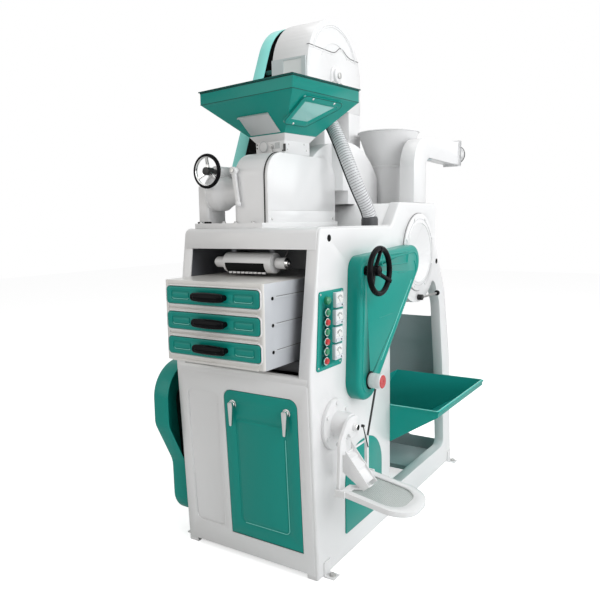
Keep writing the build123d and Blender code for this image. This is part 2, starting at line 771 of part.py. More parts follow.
def handwheel(radius, rim_r, hub_r, hub_length, spokes, dish):
    """Handwheel about Z with a round rim and flat spokes; the hub's middle is dish below the rim."""
    wheel = Torus(radius - rim_r, rim_r)
    wheel += Pos(0, 0, -dish) * Cylinder(hub_r, hub_length)
    tilt = math.degrees(math.atan2(dish, radius - rim_r - hub_r))
    length = math.hypot(radius - rim_r - hub_r, dish) + rim_r
    for index in range(spokes):
        spoke = Pos(hub_r - 3 + length / 2, 0, 0) * Box(length, rim_r * 1.3, rim_r * 0.9)
        spoke = Pos(0, 0, -dish) * Rot(0, -tilt, 0) * spoke
        wheel += Rot(0, 0, 90 + index * 360 / spokes) * spoke
    return wheel


def gap_handwheel():
    """Front handwheel on the spindle that sets the roll gap."""
    plane = face_plane(FRONT_WHEEL_DEPTH)
    wheel = plane * Pos(SPINDLE_X, SPINDLE_Z) * handwheel(FRONT_WHEEL_R, 8, 16, 40, 3, 10)
    return wheel + y_rod((SPINDLE_X, SPINDLE_Z), SPINDLE_R, FRONT_WHEEL_DEPTH, SPINDLE_BOSS_DEPTH[1])


def engaging_lever():
    """Lever on the huller's front with a ball at its lower end."""
    depth = HULLER_DEPTH[0] - SEAT_GAP
    lever = y_rod((LEVER_X, LEVER_Z), 15, depth - 22, depth)
    lever += y_rod((LEVER_X, LEVER_Z), LEVER_PIN_R, depth - 2, depth + 2 * HULLER_WALL)
    low = LEVER_Z - LEVER_DROP
    arm = rounded(
        (LEVER_X - 9, LEVER_Z, 4),
        (LEVER_X + 14, low, 4),
        (LEVER_X + 26, low, 4),
        (LEVER_X + 9, LEVER_Z, 4),
    )
    lever += extrude(face_plane(depth - 8) * arm, 12)
    ball = (LEVER_X + 20, yd(depth - 14), LEVER_Z - LEVER_DROP)
    return lever + Pos(*ball) * Sphere(LEVER_BALL_R)


# Hopper


def ring_rect(x, depth, inset):
    """Plan rectangle drawn in by inset."""
    return rect((x[0] + inset, x[1] - inset), (depth[0] + inset, depth[1] - inset))


def frustum(low, low_z, high, high_z, inset):
    """Straight-sided loft between two plan rectangles."""
    faces = [level_plane(low_z) * ring_rect(*low, inset), level_plane(high_z) * ring_rect(*high, inset)]
    return loft(faces, ruled=True)


NECK_TOP_RECT = (
    (NECK_X[0] - NECK_FLARE, NECK_X[1] + NECK_FLARE),
    (NECK_DEPTH[0] - NECK_FLARE, NECK_DEPTH[1] + NECK_FLARE),
)
HOPPER_RECT = (HOPPER_X, HOPPER_DEPTH)


def on_neck(shape):
    """Turns a piece of the hopper about the neck's upright axis, as the hopper stands."""
    middle = ((NECK_X[0] + NECK_X[1]) / 2, yd((NECK_DEPTH[0] + NECK_DEPTH[1]) / 2), 0)
    return shape.rotate(Axis(middle, (0, 0, 1)), HOPPER_TURN)


def hopper_neck():
    """Square neck on the huller with a flared top flange."""
    neck = block(NECK_X, NECK_DEPTH, (HULLER_TOP, NECK_FLARE_Z))
    neck += frustum((NECK_X, NECK_DEPTH), NECK_FLARE_Z, NECK_TOP_RECT, NECK_TOP, 0)
    neck -= frustum((NECK_X, NECK_DEPTH), NECK_FLARE_Z, NECK_TOP_RECT, NECK_TOP, NECK_WALL)
    x = (NECK_X[0] + NECK_WALL, NECK_X[1] - NECK_WALL)
    depth = (NECK_DEPTH[0] + NECK_WALL, NECK_DEPTH[1] - NECK_WALL)
    neck -= block(x, depth, (HULLER_TOP, NECK_FLARE_Z))
    return neck + y_rod((NECK_X[0] + 46, 1672), 22, NECK_DEPTH[0] - 5, NECK_DEPTH[0])


def hopper_solid(inset):
    """Hopper's outer form, or its hollow with an inset."""
    body = frustum(NECK_TOP_RECT, NECK_TOP, HOPPER_RECT, HOPPER_BAND_Z, inset)
    x = (HOPPER_X[0] + inset, HOPPER_X[1] - inset)
    depth = (HOPPER_DEPTH[0] + inset, HOPPER_DEPTH[1] - inset)
    return body + block(x, depth, (HOPPER_BAND_Z, HOPPER_RIM_Z))


def feed_hopper():
    """Folded sheet hopper with an upright band, a turned lip and the sight window's opening."""
    hopper = hopper_solid(0)
    lip_x = (HOPPER_X[0] - HOPPER_LIP, HOPPER_X[1] + HOPPER_LIP)
    lip_depth = (HOPPER_DEPTH[0] - HOPPER_LIP, HOPPER_DEPTH[1] + HOPPER_LIP)
    hopper += block(lip_x, lip_depth, (HOPPER_RIM_Z - SHEET, HOPPER_RIM_Z))
    hopper -= hopper_solid(HOPPER_WALL)
    return hopper - extrude(slope_plane(-10) * window_face(0), 20)


def slope_plane(raise_by):
    """Plane of the hopper's right slope; its own axes are depth and the way up the slope."""
    low = Vector(NECK_TOP_RECT[0][1], yd(0), NECK_TOP)
    high = Vector(HOPPER_X[1], yd(0), HOPPER_BAND_Z)
    up = (high - low).normalized()
    normal = Vector(0, 1, 0).cross(up)
    return Plane(origin=low + normal * raise_by, x_dir=(0, 1, 0), z_dir=normal)


def window_face(grow):
    """Sight window's outline on the right slope, a trapezoid with a slanted rear side."""
    length = math.hypot(HOPPER_X[1] - NECK_TOP_RECT[0][1], HOPPER_BAND_Z - NECK_TOP)
    low = 0.3 * length - grow
    high = 0.85 * length + grow
    front = NECK_DEPTH[0] - 66 - grow
    return rounded(
        (front, low, 8),
        (NECK_DEPTH[0] + 52 + grow, low, 8),
        (NECK_DEPTH[1] + grow, high, 8),
        (front, high, 8),
    )


def sight_window():
    """Clear pane screwed on the right slope."""
    return extrude(slope_plane(SEAT_GAP) * window_face(WINDOW_FRAME), WINDOW_T)


def gate_plane(raise_by):
    """Plane of the hopper's front slope; its own axes are X and the way up the slope."""
    low = Vector(0, yd(NECK_TOP_RECT[1][0]), NECK_TOP)
    high = Vector(0, yd(HOPPER_DEPTH[0]), HOPPER_BAND_Z)
    up = (high - low).normalized()
    normal = Vector(1, 0, 0).cross(up)
    return Plane(origin=low + normal * raise_by, x_dir=(1, 0, 0), z_dir=normal)


def feed_gate():
    """Slide gate that lies on the hopper's front slope, with a folded pull edge."""
    plate = extrude(gate_plane(GATE_GAP) * rect(GATE_X, (8, 8 + GATE_LENGTH)), GATE_T)
    return plate + extrude(gate_plane(GATE_GAP) * rect(GATE_X, (5 + GATE_LENGTH, 8 + GATE_LENGTH)), 12)


# Bucket elevator


def elevator_legs():
    """Two rectangular elevator legs."""
    legs = []
    for leg in LEG_DEPTHS:
        tube = block(ELEV_X, leg, (BOOT_Z[1], HEAD_Z))
        inside = (leg[0] + ELEV_WALL, leg[1] - ELEV_WALL)
        tube -= block((ELEV_X[0] + ELEV_WALL, ELEV_X[1] - ELEV_WALL), inside, (BOOT_Z[1], HEAD_Z))
        legs.append(tube)
    return legs


def elevator_boot():
    """Boot that joins the legs at the foot, with the intake on its right."""
    boot = block(ELEV_X, BOOT_DEPTH, BOOT_Z)
    inside_x = (ELEV_X[0] + ELEV_WALL, ELEV_X[1] - ELEV_WALL)
    inside_d = (BOOT_DEPTH[0] + ELEV_WALL, BOOT_DEPTH[1] - ELEV_WALL)
    boot -= block(inside_x, inside_d, (BOOT_Z[0] + ELEV_WALL, BOOT_Z[1] - ELEV_WALL))
    for leg in LEG_DEPTHS:
        mouth = (leg[0] + ELEV_WALL, leg[1] - ELEV_WALL)
        boot -= block(inside_x, mouth, (BOOT_Z[1] - ELEV_WALL, BOOT_Z[1]))
    intake = (BOOT_DEPTH[0] + 40, BOOT_DEPTH[1] - 40)
    return boot - block((ELEV_X[1] - ELEV_WALL, ELEV_X[1]), intake, (TRAY_LOW_Z + 8, TRAY_LOW_Z + 120))


def head_face(inset):
    """Side outline of the elevator head: a drum over a box with a forward spout."""
    drum = Pos(*HEAD_CENTRE) * Circle(HEAD_R - inset)
    drum &= rect((HEAD_DEPTH[0] - HEAD_R, HEAD_DEPTH[1] + HEAD_R), (HEAD_CENTRE[1], HEAD_CENTRE[1] + HEAD_R))
    box = rounded(
        (HEAD_DEPTH[0] + inset, HEAD_Z + 15 + inset, 0),
        (LEG_DEPTHS[0][0] + inset, HEAD_Z + inset, 0),
        (HEAD_DEPTH[1] - inset, HEAD_Z + inset, 0),
        (HEAD_DEPTH[1] - inset, HEAD_CENTRE[1], 0),
        (HEAD_DEPTH[0] + inset, HEAD_CENTRE[1], 0),
    )
    return drum + box


def hose_spout(radius):
    """Slanted round spout from the head's right wall to the start of the hose."""
    start = Vector(HOSE_START[0], yd(HOSE_START[1]), HOSE_START[2])
    ahead = Vector(HOSE_POINTS[0][0], yd(HOSE_POINTS[0][1]), HOSE_POINTS[0][2]) - start
    rod = extrude(Plane(origin=start, z_dir=ahead * -1) * Circle(radius), 2 * SPOUT_LENGTH)
    reach = HOSE_START[0] + 2 * radius
    return rod & block((ELEV_X[1] - ELEV_WALL, reach), HEAD_DEPTH, (HEAD_Z - SPOUT_LENGTH, HEAD_CENTRE[1]))


def elevator_head():
    """Elevator head with its rounded hood, split seam, discharge window and shaft bores."""
    head = slab(head_face(0), *ELEV_X)
    head -= slab(head_face(ELEV_WALL), ELEV_X[0] + ELEV_WALL, ELEV_X[1] - ELEV_WALL)
    for leg in LEG_DEPTHS:
        mouth = (leg[0] + ELEV_WALL, leg[1] - ELEV_WALL)
        head -= block((ELEV_X[0] + ELEV_WALL, ELEV_X[1] - ELEV_WALL), mouth, (HEAD_Z, HEAD_Z + 20))
    window_x = (ELEV_X[0] + 34, ELEV_X[1] - 34)
    head -= block(window_x, (HEAD_DEPTH[0], HEAD_DEPTH[0] + 2 * ELEV_WALL), HEAD_WINDOW_Z)
    head -= x_rod(HEAD_CENTRE, SHAFT_R + RUN_GAP, *ELEV_X)
    return head + hose_spout(CUFF_R) - hose_spout(HOSE_R - HOSE_WALL)


def elevator_head_pulley():
    """Head pulley and its shaft with the drive pulley outside the left wall."""
    shaft = x_rod(HEAD_CENTRE, SHAFT_R, GUARD_X[0] + 8, ELEV_X[1] + 26)
    rim = (ELEV_X[0] + 24, ELEV_X[1] - 24)
    middle = (rim[0] + rim[1]) / 2
    shaft += slab(Pos(*HEAD_CENTRE) * (Circle(HEAD_PULLEY_R) - Circle(HEAD_PULLEY_R - 8)), *rim)
    shaft += x_rod(HEAD_CENTRE, HEAD_PULLEY_R - 2, middle - 4, middle + 4)
    shaft += x_rod(HEAD_CENTRE, SHAFT_R + 12, *rim)
    return shaft + x_rod(HEAD_CENTRE, DRIVE_PULLEY_R, GUARD_X[0] + 12, GUARD_X[0] + 38)


def elevator_belt_guard():
    """Sloping channel guard round the elevator's drive belt, open towards the elevator."""
    outline = belt_hull(HEAD_CENTRE, GUARD_TOP_R, GUARD_FOOT, GUARD_FOOT_R)
    guard = slab(outline, *GUARD_X)
    guard -= slab(offset(outline, -GUARD_WALL), GUARD_X[0] + GUARD_WALL, GUARD_X[1])
    for side in (-1, 1):
        at = (HEAD_CENTRE[0] + side * 170, HEAD_CENTRE[1] + 20)
        guard += x_rod(at, 12, GUARD_X[0], ELEV_X[0])
    return guard


def grain_hose():
    """Clear hose between the elevator's spout and the deck's spigot."""
    points = [HOSE_START, *HOSE_POINTS, HOSE_END]
    path_points = [(x, yd(d), z) for x, d, z in points]
    radii = []
    for a, b, c in zip(path_points, path_points[1:], path_points[2:]):
        run_in = Vector(*b) - Vector(*a)
        run_out = Vector(*c) - Vector(*b)
        turn = math.radians(run_in.get_angle(run_out))
        radii.append(0.45 * min(run_in.length, run_out.length) / math.tan(turn / 2))
    path = FilletPolyline(*path_points, radius=radii)
    section = Plane(origin=path @ 0, z_dir=path % 0)
    outside = sweep(section * Circle(HOSE_R), path=path)
    return outside - sweep(section * Circle(HOSE_R - HOSE_WALL), path=path)


# Husk duct, funnel, fan and outlet elbow

CASING_TOP = HUMP_Z - SHEET


def duct_face(inset):
    """Side outline of the duct: a wide arc from the huller's shoulder over an upright leg."""
    disc = Pos(*DUCT_AT) * Circle(DUCT_R - inset)
    top = DUCT_AT[1] + DUCT_R
    leg = rect((DUCT_LEG[0] + inset, DUCT_LEG[1] - inset), (CASING_TOP, top))
    throat = rect((NECK_DEPTH[1], DUCT_LEG[1] - inset), (DUCT_MOUTH_Z + inset, top))
    return (disc & (leg + throat)) - huller_arch(0, PLINTH_Z + PLINTH_T)


def duct_solid(inset):
    """Duct's outer form or its hollow: a narrow throat on the huller and a wide bend behind it."""
    outline = duct_face(inset)
    behind = rect((HULLER_DEPTH[1] + DUCT_GAP + inset, DUCT_LEG[1]), (CASING_TOP, DUCT_AT[1] + DUCT_R))
    throat = slab(outline, DUCT_X[0] + inset, HULLER_X[1] - DUCT_GAP - inset)
    return throat + slab(outline & behind, DUCT_X[0] + inset, DUCT_X[1] - inset)


def husk_duct():
    """Curved duct from the huller's shoulder down to the fan casing."""
    return duct_solid(0) - duct_solid(DUCT_WALL)


def fan_face(inset):
    """Side outline of the fan casing: a scroll under a flat top with a ramp in front."""
    hump = offset(side_outline(True), -SHEET - inset)
    upper = hump & rect((RAMP_START - 12 + inset, HUMP_REAR), (FAN_CENTRE[1], HUMP_Z))
    return upper + Pos(*FAN_CENTRE) * Circle(FAN_R - inset)


def fan_casing():
    """Fan casing with its eye, bearing bores and the openings under the duct and the funnel."""
    casing = slab(fan_face(0), *FAN_X)
    casing -= slab(fan_face(SHEET), FAN_X[0] + SHEET, FAN_X[1] - SHEET)
    casing -= x_rod(FAN_CENTRE, FAN_COVER_R - 30, FAN_X[1] - SHEET, FAN_X[1])
    casing -= x_rod(FAN_CENTRE, SHAFT_R + RUN_GAP, FAN_X[0], FAN_X[0] + SHEET)
    duct_x = (DUCT_X[0] + 12, DUCT_X[1] - DUCT_WALL)
    casing -= block(duct_x, (RAMP_END + 20, DUCT_LEG[1] - 20), (CASING_TOP - SHEET, CASING_TOP))
    return casing - z_rod(FUNNEL_AT, FUNNEL_STEPS[0][1] - FUNNEL_WALL, CASING_TOP - SHEET, CASING_TOP)


def fan_impeller():
    """Fan wheel with a back plate and radial blades on its shaft."""
    wheel = x_rod(FAN_CENTRE, SHAFT_R, FAN_X[0] - 6, RIGHT - 1)
    wheel += x_rod(FAN_CENTRE, 34, *IMPELLER_X)
    wheel += x_rod(FAN_CENTRE, IMPELLER_R, IMPELLER_X[0], IMPELLER_X[0] + SHEET)
    for index in range(BLADES):
        blade = Rot(0, 0, index * 360 / BLADES) * rect((20, IMPELLER_R), (-SHEET / 2, SHEET / 2))
        wheel += slab(Pos(*FAN_CENTRE) * blade, *IMPELLER_X)
    return wheel


def fan_cover():
    """Round cover over the fan's eye with a raised ring, a bearing bore and eight screws."""
    cover = x_rod(FAN_CENTRE, FAN_COVER_R, RIGHT, RIGHT + FAN_COVER_T)
    ring = Pos(*FAN_CENTRE) * (Circle(FAN_COVER_R - 38) - Circle(FAN_COVER_R - 46))
    cover += slab(ring, RIGHT + FAN_COVER_T, RIGHT + FAN_COVER_T + 3)
    cover -= x_rod(FAN_CENTRE, SHAFT_R + RUN_GAP, RIGHT - 2, RIGHT + 2)
    for index in range(8):
        turn = math.radians(22.5 + index * 45)
        reach = FAN_COVER_R - 16
        at = (FAN_CENTRE[0] + reach * math.cos(turn), FAN_CENTRE[1] + reach * math.sin(turn))
        cover += x_rod(at, 7, RIGHT + FAN_COVER_T, RIGHT + FAN_COVER_T + 4)
    return cover - slab(offset(right_guard_face(), 1), RIGHT, RIGHT + RGUARD_DEPTH)


def rear_funnel():
    """Round funnel on the fan casing: a tapered pipe under a wide cone with a seam bead."""
    (seam_z, foot_r, seam_r), (rim_z, seam_r2, rim_r) = FUNNEL_STEPS
    wall = FUNNEL_WALL
    outline = Polyline(
        (foot_r, CASING_TOP),
        (seam_r, seam_z - 4),
        (seam_r + 3, seam_z - 4),
        (seam_r + 3, seam_z + 4),
        (seam_r2 + 1, seam_z + 4),
        (rim_r, rim_z - 5),
        (rim_r + 4, rim_z - 5),
        (rim_r + 4, rim_z),
        (rim_r - wall, rim_z),
        (seam_r2 - wall, seam_z),
        (foot_r - wall, CASING_TOP),
        close=True,
    )
    plane = Plane(origin=(FUNNEL_AT[0], yd(FUNNEL_AT[1]), 0), x_dir=(1, 0, 0), z_dir=(0, -1, 0))
    return revolve(plane * make_face(outline), Axis((FUNNEL_AT[0], yd(FUNNEL_AT[1]), 0), (0, 0, 1)))


def elbow_face(inset):
    """Side outline of the fan's outlet elbow."""
    low = HUMP_Z
    front = ELBOW_DEPTH[0] + inset
    rear = ELBOW_DEPTH[1] - inset
    return rounded(
        (front, low, 0),
        (rear, low, 0),
        (rear, ELBOW_Z[0] + inset, 50),
        (ELBOW_END, ELBOW_END_Z[0] + inset, 0),
        (ELBOW_END, ELBOW_END_Z[1] - inset, 0),
        (front, ELBOW_Z[1] - inset, 150 - inset),
    )


def fan_outlet_elbow():
    """Sheet elbow from the fan's top to the rear with an end flange and a round collar."""
    wall = FUNNEL_WALL
    elbow = slab(elbow_face(0), *ELBOW_X)
    elbow -= slab(elbow_face(wall), ELBOW_X[0] + wall, ELBOW_X[1] - wall)
    middle = ((ELBOW_X[0] + ELBOW_X[1]) / 2, (ELBOW_END_Z[0] + ELBOW_END_Z[1]) / 2)
    plate_x = (ELBOW_X[0] - 14, ELBOW_X[1] + 14)
    elbow += block(plate_x, (ELBOW_END, ELBOW_END + 5), (ELBOW_END_Z[0] - 8, ELBOW_END_Z[1] + 8))
    elbow += y_rod(middle, COLLAR_R, ELBOW_END, ELBOW_END + COLLAR_LENGTH)
    elbow -= y_rod(middle, COLLAR_R - wall, ELBOW_END + 5, ELBOW_END + COLLAR_LENGTH)
    elbow -= y_rod(middle, (ELBOW_X[1] - ELBOW_X[0]) / 2 - wall, ELBOW_END - 1, ELBOW_END + 6)
    return elbow


# Right belt guard, handwheel, knob and control plate


def right_guard_face():
    """Outline of the right guard: a long drop with a wide rear lobe."""
    return rounded((218, 643, 84), (348, 643, 90), (840, 1140, 80), (840, 1250, 70), (250, 1220, 60))


def right_belt_guard():
    """Deep-drawn guard over the right-hand belt with the spindle's and the knob's holes."""
    outline = right_guard_face()
    guard = slab(outline, RIGHT, RIGHT + RGUARD_DEPTH)
    guard = fillet(guard.faces().sort_by(Axis.X)[-1].edges(), RGUARD_EDGE_R)
    hollow = slab(offset(outline, -RGUARD_WALL), RIGHT, RIGHT + RGUARD_DEPTH - RGUARD_WALL)
    inner_rim = hollow.faces().sort_by(Axis.X)[-1].edges()
    guard -= fillet(inner_rim, RGUARD_EDGE_R - RGUARD_WALL)
    guard -= x_rod(WHEEL_AT, SPINDLE_R + RUN_GAP, RIGHT, RIGHT + RGUARD_DEPTH)
    return guard - x_rod(KNOB_AT, SPINDLE_R + RUN_GAP, RIGHT, RIGHT + RGUARD_DEPTH)


def tension_handwheel():
    """Three-spoke handwheel on the belt tension spindle."""
    x = RIGHT + WHEEL_OUT
    wheel = side_plane(x) * Pos(*WHEEL_AT) * handwheel(WHEEL_R, WHEEL_RIM_R, 20, 44, 3, 22)
    return wheel + x_rod(WHEEL_AT, SPINDLE_R, RIGHT - 10, x - 10)


def pressure_knob():
    """Knob on a stem that sets the outlet's counter-pressure."""
    knob = x_rod(KNOB_AT, KNOB_R, RIGHT + KNOB_X[0], RIGHT + KNOB_X[1])
    knob = fillet(knob.edges(), 4)
    return knob + x_rod(KNOB_AT, SPINDLE_R, RIGHT + 8, RIGHT + KNOB_X[0] + 5)


def button_at(index):
    """Depth and height of a push button, counted from the top."""
    return (68 - 2.6 * index, BUTTON_TOP_Z - index * BUTTON_PITCH)


def control_panel():
    """Control plate with four panel meters, a lamp and the button bezels."""
    face = rounded((0, 812, 12), (186, 812, 12), (206, 1105, 12), (24, 1105, 12))
    plate = slab(face, RIGHT, RIGHT + PLATE_T)
    bore = BUTTON_R + SEAT_GAP
    pieces = []
    top = RIGHT + PLATE_T
    for index in range(BUTTON_COUNT):
        plate -= x_rod(button_at(index), bore, RIGHT, top)
        ring = x_rod(button_at(index), BEZEL_R, top, top + BEZEL_OUT)
        pieces.append(ring - x_rod(button_at(index), bore, top, top + BEZEL_OUT))
    for index in range(4):
        at = (152 - 3.3 * index, METER_TOP_Z - index * METER_PITCH)
        half = METER / 2
        square = rect((at[0] - half, at[0] + half), (at[1] - half, at[1] + half), 4)
        pieces.append(slab(square, top, top + METER_T))
    pieces.append(x_rod((71, BUTTON_TOP_Z + 44), 9, top, top + 8))
    return [plate, *pieces]


def push_button(index):
    """Push button cap with room behind it for its travel."""
    low = RIGHT + BUTTON_TRAVEL + 0.5
    return x_rod(button_at(index), BUTTON_R, low, RIGHT + PLATE_T + BEZEL_OUT + 6)


# Left belt guard, motor and belt


def left_belt_guard():
    """Waisted guard over the whitener's belt, open towards the cabinet, on three stand-offs."""
    outline = rounded(
        (LGUARD_DEPTH[0], LGUARD_TOP_Z, 150),
        (LGUARD_DEPTH[1], LGUARD_TOP_Z, 150),
        (LGUARD_FOOT_DEPTH[1], LGUARD_LOW_Z, 100),
        (LGUARD_FOOT_DEPTH[0], LGUARD_LOW_Z, 100),
        (LGUARD_FOOT_DEPTH[0] - 4, 330, 120),
        (LGUARD_DEPTH[0], 520, 90),
    )
    guard = slab(outline, *LGUARD_X)
    guard = fillet(guard.faces().sort_by(Axis.X)[0].edges(), 16)
    hollow = slab(offset(outline, -LGUARD_WALL), LGUARD_X[0] + LGUARD_WALL, LGUARD_X[1])
    guard -= fillet(hollow.faces().sort_by(Axis.X)[0].edges(), 16 - LGUARD_WALL)
    for at in ((60, 725), (216, 330), (50, 330)):
        guard += x_rod(at, 10, LGUARD_X[0] + 1, LEFT)
    return guard


def motor():
    """Motor with cooling ribs, feet and a base plate between the side panels, and its pulley."""
    body = x_rod(MOTOR_AT, MOTOR_R - 12, *MOTOR_X)
    for index in range(18):
        turn = Rot(0, 0, index * 20)
        rib = turn * rect((MOTOR_R - 20, MOTOR_R), (-2.5, 2.5))
        body += slab(Pos(*MOTOR_AT) * rib, MOTOR_X[0] + 40, MOTOR_X[1] - 40)
    for x in (MOTOR_X[0], MOTOR_X[1] - 36):
        body += x_rod(MOTOR_AT, MOTOR_R, x, x + 36)
        feet = (MOTOR_AT[0] - 70, MOTOR_AT[0] + 70)
        body += block((x, x + 36), feet, (MOTOR_BASE_Z, MOTOR_AT[1] - 70))
    base = block((-INNER, INNER), (MOTOR_AT[0] - 90, MOTOR_AT[0] + 90), (MOTOR_BASE_Z - 10, MOTOR_BASE_Z))
    shaft = x_rod(MOTOR_AT, SHAFT_R, BELT_X[0] - 8, MOTOR_X[0])
    pulley = x_rod(MOTOR_AT, MOTOR_PULLEY_R, BELT_X[0] - 4, BELT_X[1] + 4)
    return body + base + shaft + pulley


def drive_belts():
    """Flat belt from the motor's pulley to the whitener's."""
    outside = belt_hull(WHITENER_AT, ROLLER_PULLEY_R + BELT_T, MOTOR_AT, MOTOR_PULLEY_R + BELT_T)
    inside = belt_hull(WHITENER_AT, ROLLER_PULLEY_R + SEAT_GAP, MOTOR_AT, MOTOR_PULLEY_R)
    return slab(outside - inside, *BELT_X)


# Whitener and its outlet


def whitener_housing():
    """Whitener barrel with a bolted flange on the right panel, an outlet nose and a feed inlet."""
    right = RIGHT + FLANGE_T
    body = x_rod(WHITENER_AT, CHAMBER_R, *CHAMBER_X)
    body += x_rod(WHITENER_AT, FLANGE_R, RIGHT, right)
    body += x_rod(WHITENER_AT, NOSE_R, right, right + NOSE_LENGTH)
    body -= x_rod(WHITENER_AT, CHAMBER_R - CHAMBER_WALL, CHAMBER_X[0] + CHAMBER_WALL, RIGHT + 4)
    body -= x_rod(WHITENER_AT, SHAFT_R + RUN_GAP, CHAMBER_X[0], right + NOSE_LENGTH - 8)
    inlet_z = (WHITENER_AT[1], WHITENER_AT[1] + CHAMBER_R)
    body -= block((120, 200), (WHITENER_AT[0] - 40, WHITENER_AT[0] + 40), inlet_z)
    for index in range(6):
        turn = math.radians(30 + 60 * index)
        reach = FLANGE_R - 16
        at = (WHITENER_AT[0] + reach * math.cos(turn), WHITENER_AT[1] + reach * math.sin(turn))
        body += x_rod(at, 8, right, right + 7)
    return body


def whitener_roller():
    """Whitening roller on its shaft with the belt pulley at the left end."""
    shaft = x_rod(WHITENER_AT, SHAFT_R, BELT_X[0] - 8, RIGHT + FLANGE_T + NOSE_LENGTH - 20)
    shaft += x_rod(WHITENER_AT, ROLLER_R, CHAMBER_X[0] + CHAMBER_WALL + 6, RIGHT - 4)
    return shaft + x_rod(WHITENER_AT, ROLLER_PULLEY_R, BELT_X[0] - 4, BELT_X[1] + 4)


ARM_X = (RIGHT + FLANGE_T + NOSE_LENGTH, RIGHT + FLANGE_T + NOSE_LENGTH + ARM_T)


def outlet_chute():
    """Hooked arm on the nose, its two hanger bars and the stepped chute between cheeks."""
    hook = rounded(
        (170, 630, 38),
        (84, 630, 48),
        (20, 556, 60),
        (8, TROUGH_Z - 8, 4),
        (24, TROUGH_Z - 8, 4),
        (32, 508, 8),
        (62, 496, 6),
        (66, 526, 6),
        (58, 554, 10),
        (84, 580, 14),
        (104, 550, 10),
        (170, 552, 34),
    )
    arm = slab(hook, *ARM_X)
    arm += slab(rect((TROUGH_DEPTH[1], TROUGH_DEPTH[1] + 14), (TROUGH_Z - 30, 517), 5), *ARM_X)
    for depth in ((TROUGH_DEPTH[0] - 8, TROUGH_DEPTH[0]), (TROUGH_DEPTH[1], TROUGH_DEPTH[1] + 8)):
        arm += block((ARM_X[0], TROUGH_X[0] + 18), depth, (TROUGH_Z - 24, TROUGH_Z + 2))
    arm += y_rod((ARM_X[0] + 6, 500), 4, CHUTE_DEPTH[0], TROUGH_DEPTH[1] + 4)
    cheek = make_face(Polyline((ARM_X[0], 532), (ARM_X[0], 432), (490, 376), (512, 396), close=True))
    for depth in (CHUTE_DEPTH[0] + CHUTE_WALL, CHUTE_DEPTH[1]):
        arm += extrude(face_plane(depth) * cheek, CHUTE_WALL)
    steps = make_face(
        Polyline(
            (ARM_X[0], 500), (434, 486), (434, 474), (464, 452), (464, 440), (498, 404),
            (494, 400), (458, 436), (458, 448), (428, 470), (428, 482), (ARM_X[0], 494),
            close=True,
        )
    )
    arm += extrude(face_plane(CHUTE_DEPTH[1]) * steps, CHUTE_DEPTH[1] - CHUTE_DEPTH[0])
    return arm + x_rod(WHITENER_AT, 16, ARM_X[0], ARM_X[1] + 8)


def trough_plane(raise_by):
    """Plane of the tilted trough; its own axes are the way along it and the depth."""
    tilt = math.radians(TROUGH_TILT)
    normal = (math.sin(tilt), 0, math.cos(tilt))
    origin = Vector(TROUGH_X[0], FRONT_Y, TROUGH_Z) + Vector(*normal) * raise_by
    return Plane(origin=origin, x_dir=(math.cos(tilt), 0, -math.sin(tilt)), z_dir=normal)


def screen_trough():
    """Tongue-shaped trough with a broad rim, a skirt and a screen in its floor."""
    length = TROUGH_X[1] - TROUGH_X[0]
    outline = rounded(
        (0, TROUGH_DEPTH[0], 8),
        (length, TROUGH_DEPTH[0], 96),
        (length, TROUGH_DEPTH[1], 96),
        (0, TROUGH_DEPTH[1], 8),
    )
    outline -= Pos(*TROUGH_BAY_AT) * Circle(TROUGH_BAY_R)
    field = rounded(
        (TROUGH_WALL, TROUGH_DEPTH[0] + TROUGH_WALL, 8),
        (length - TROUGH_TIP, TROUGH_DEPTH[0] + TROUGH_WALL, 72),
        (length - TROUGH_TIP, TROUGH_DEPTH[1] - TROUGH_WALL, 72),
        (TROUGH_WALL, TROUGH_DEPTH[1] - TROUGH_WALL, 8),
    )
    field -= Pos(*TROUGH_BAY_AT) * Circle(TROUGH_BAY_R + TROUGH_WALL)
    rim = extrude(trough_plane(-3) * (outline - field), 3)
    skirt = extrude(trough_plane(-TROUGH_LIP) * (outline - offset(outline, -3)), TROUGH_LIP)
    tub = extrude(trough_plane(-12) * (offset(field, 2) - field), 12)
    mesh = extrude(trough_plane(-12) * field, 2)
    return [rim + skirt + tub, mesh]


# Intake tray, inspection cover and air lever


def tray_solid(inset):
    """Intake tray's wedge, or its hollow with an inset, between its front and rear walls."""
    low = TRAY_X[0]
    right = TRAY_X[1] - inset
    corners = [
        (right, 502 + inset),
        (low, TRAY_LOW_Z + inset),
        (low, 330 - inset),
        (77 + inset, TRAY_RIM_Z),
        (right, TRAY_RIM_Z),
    ]
    wedge = make_face(Polyline(*corners, close=True))
    depth = (TRAY_DEPTH[0] + inset, TRAY_DEPTH[1] - inset)
    return extrude(face_plane(depth[1]) * wedge, depth[1] - depth[0])


def intake_tray():
    """Sloping intake tray that leads through the arch to the elevator's boot."""
    tray = tray_solid(0) - tray_solid(TRAY_WALL)
    rim = block((RIGHT + 4, TRAY_X[1]), TRAY_DEPTH, (TRAY_RIM_Z - 8, TRAY_RIM_Z))
    rim += block((TRAY_X[1], TRAY_X[1] + 6), TRAY_DEPTH, (TRAY_RIM_Z - 8, TRAY_RIM_Z))
    hole = block((RIGHT, TRAY_X[1] - 3), (TRAY_DEPTH[0] + 3, TRAY_DEPTH[1] - 3), (TRAY_RIM_Z - 9, TRAY_RIM_Z))
    return tray + (rim - hole)


def inspection_cover():
    """Arched cover plate low on the right panel."""
    top = HATCH_SPRING_Z + (HATCH_DEPTH[1] - HATCH_DEPTH[0]) / 2
    front, rear = HATCH_DEPTH
    face = rounded((front, HATCH_LOW, 8), (rear, HATCH_LOW, 8), (rear, top, 150), (front, top, 150))
    return slab(face, RIGHT, RIGHT + HATCH_T)


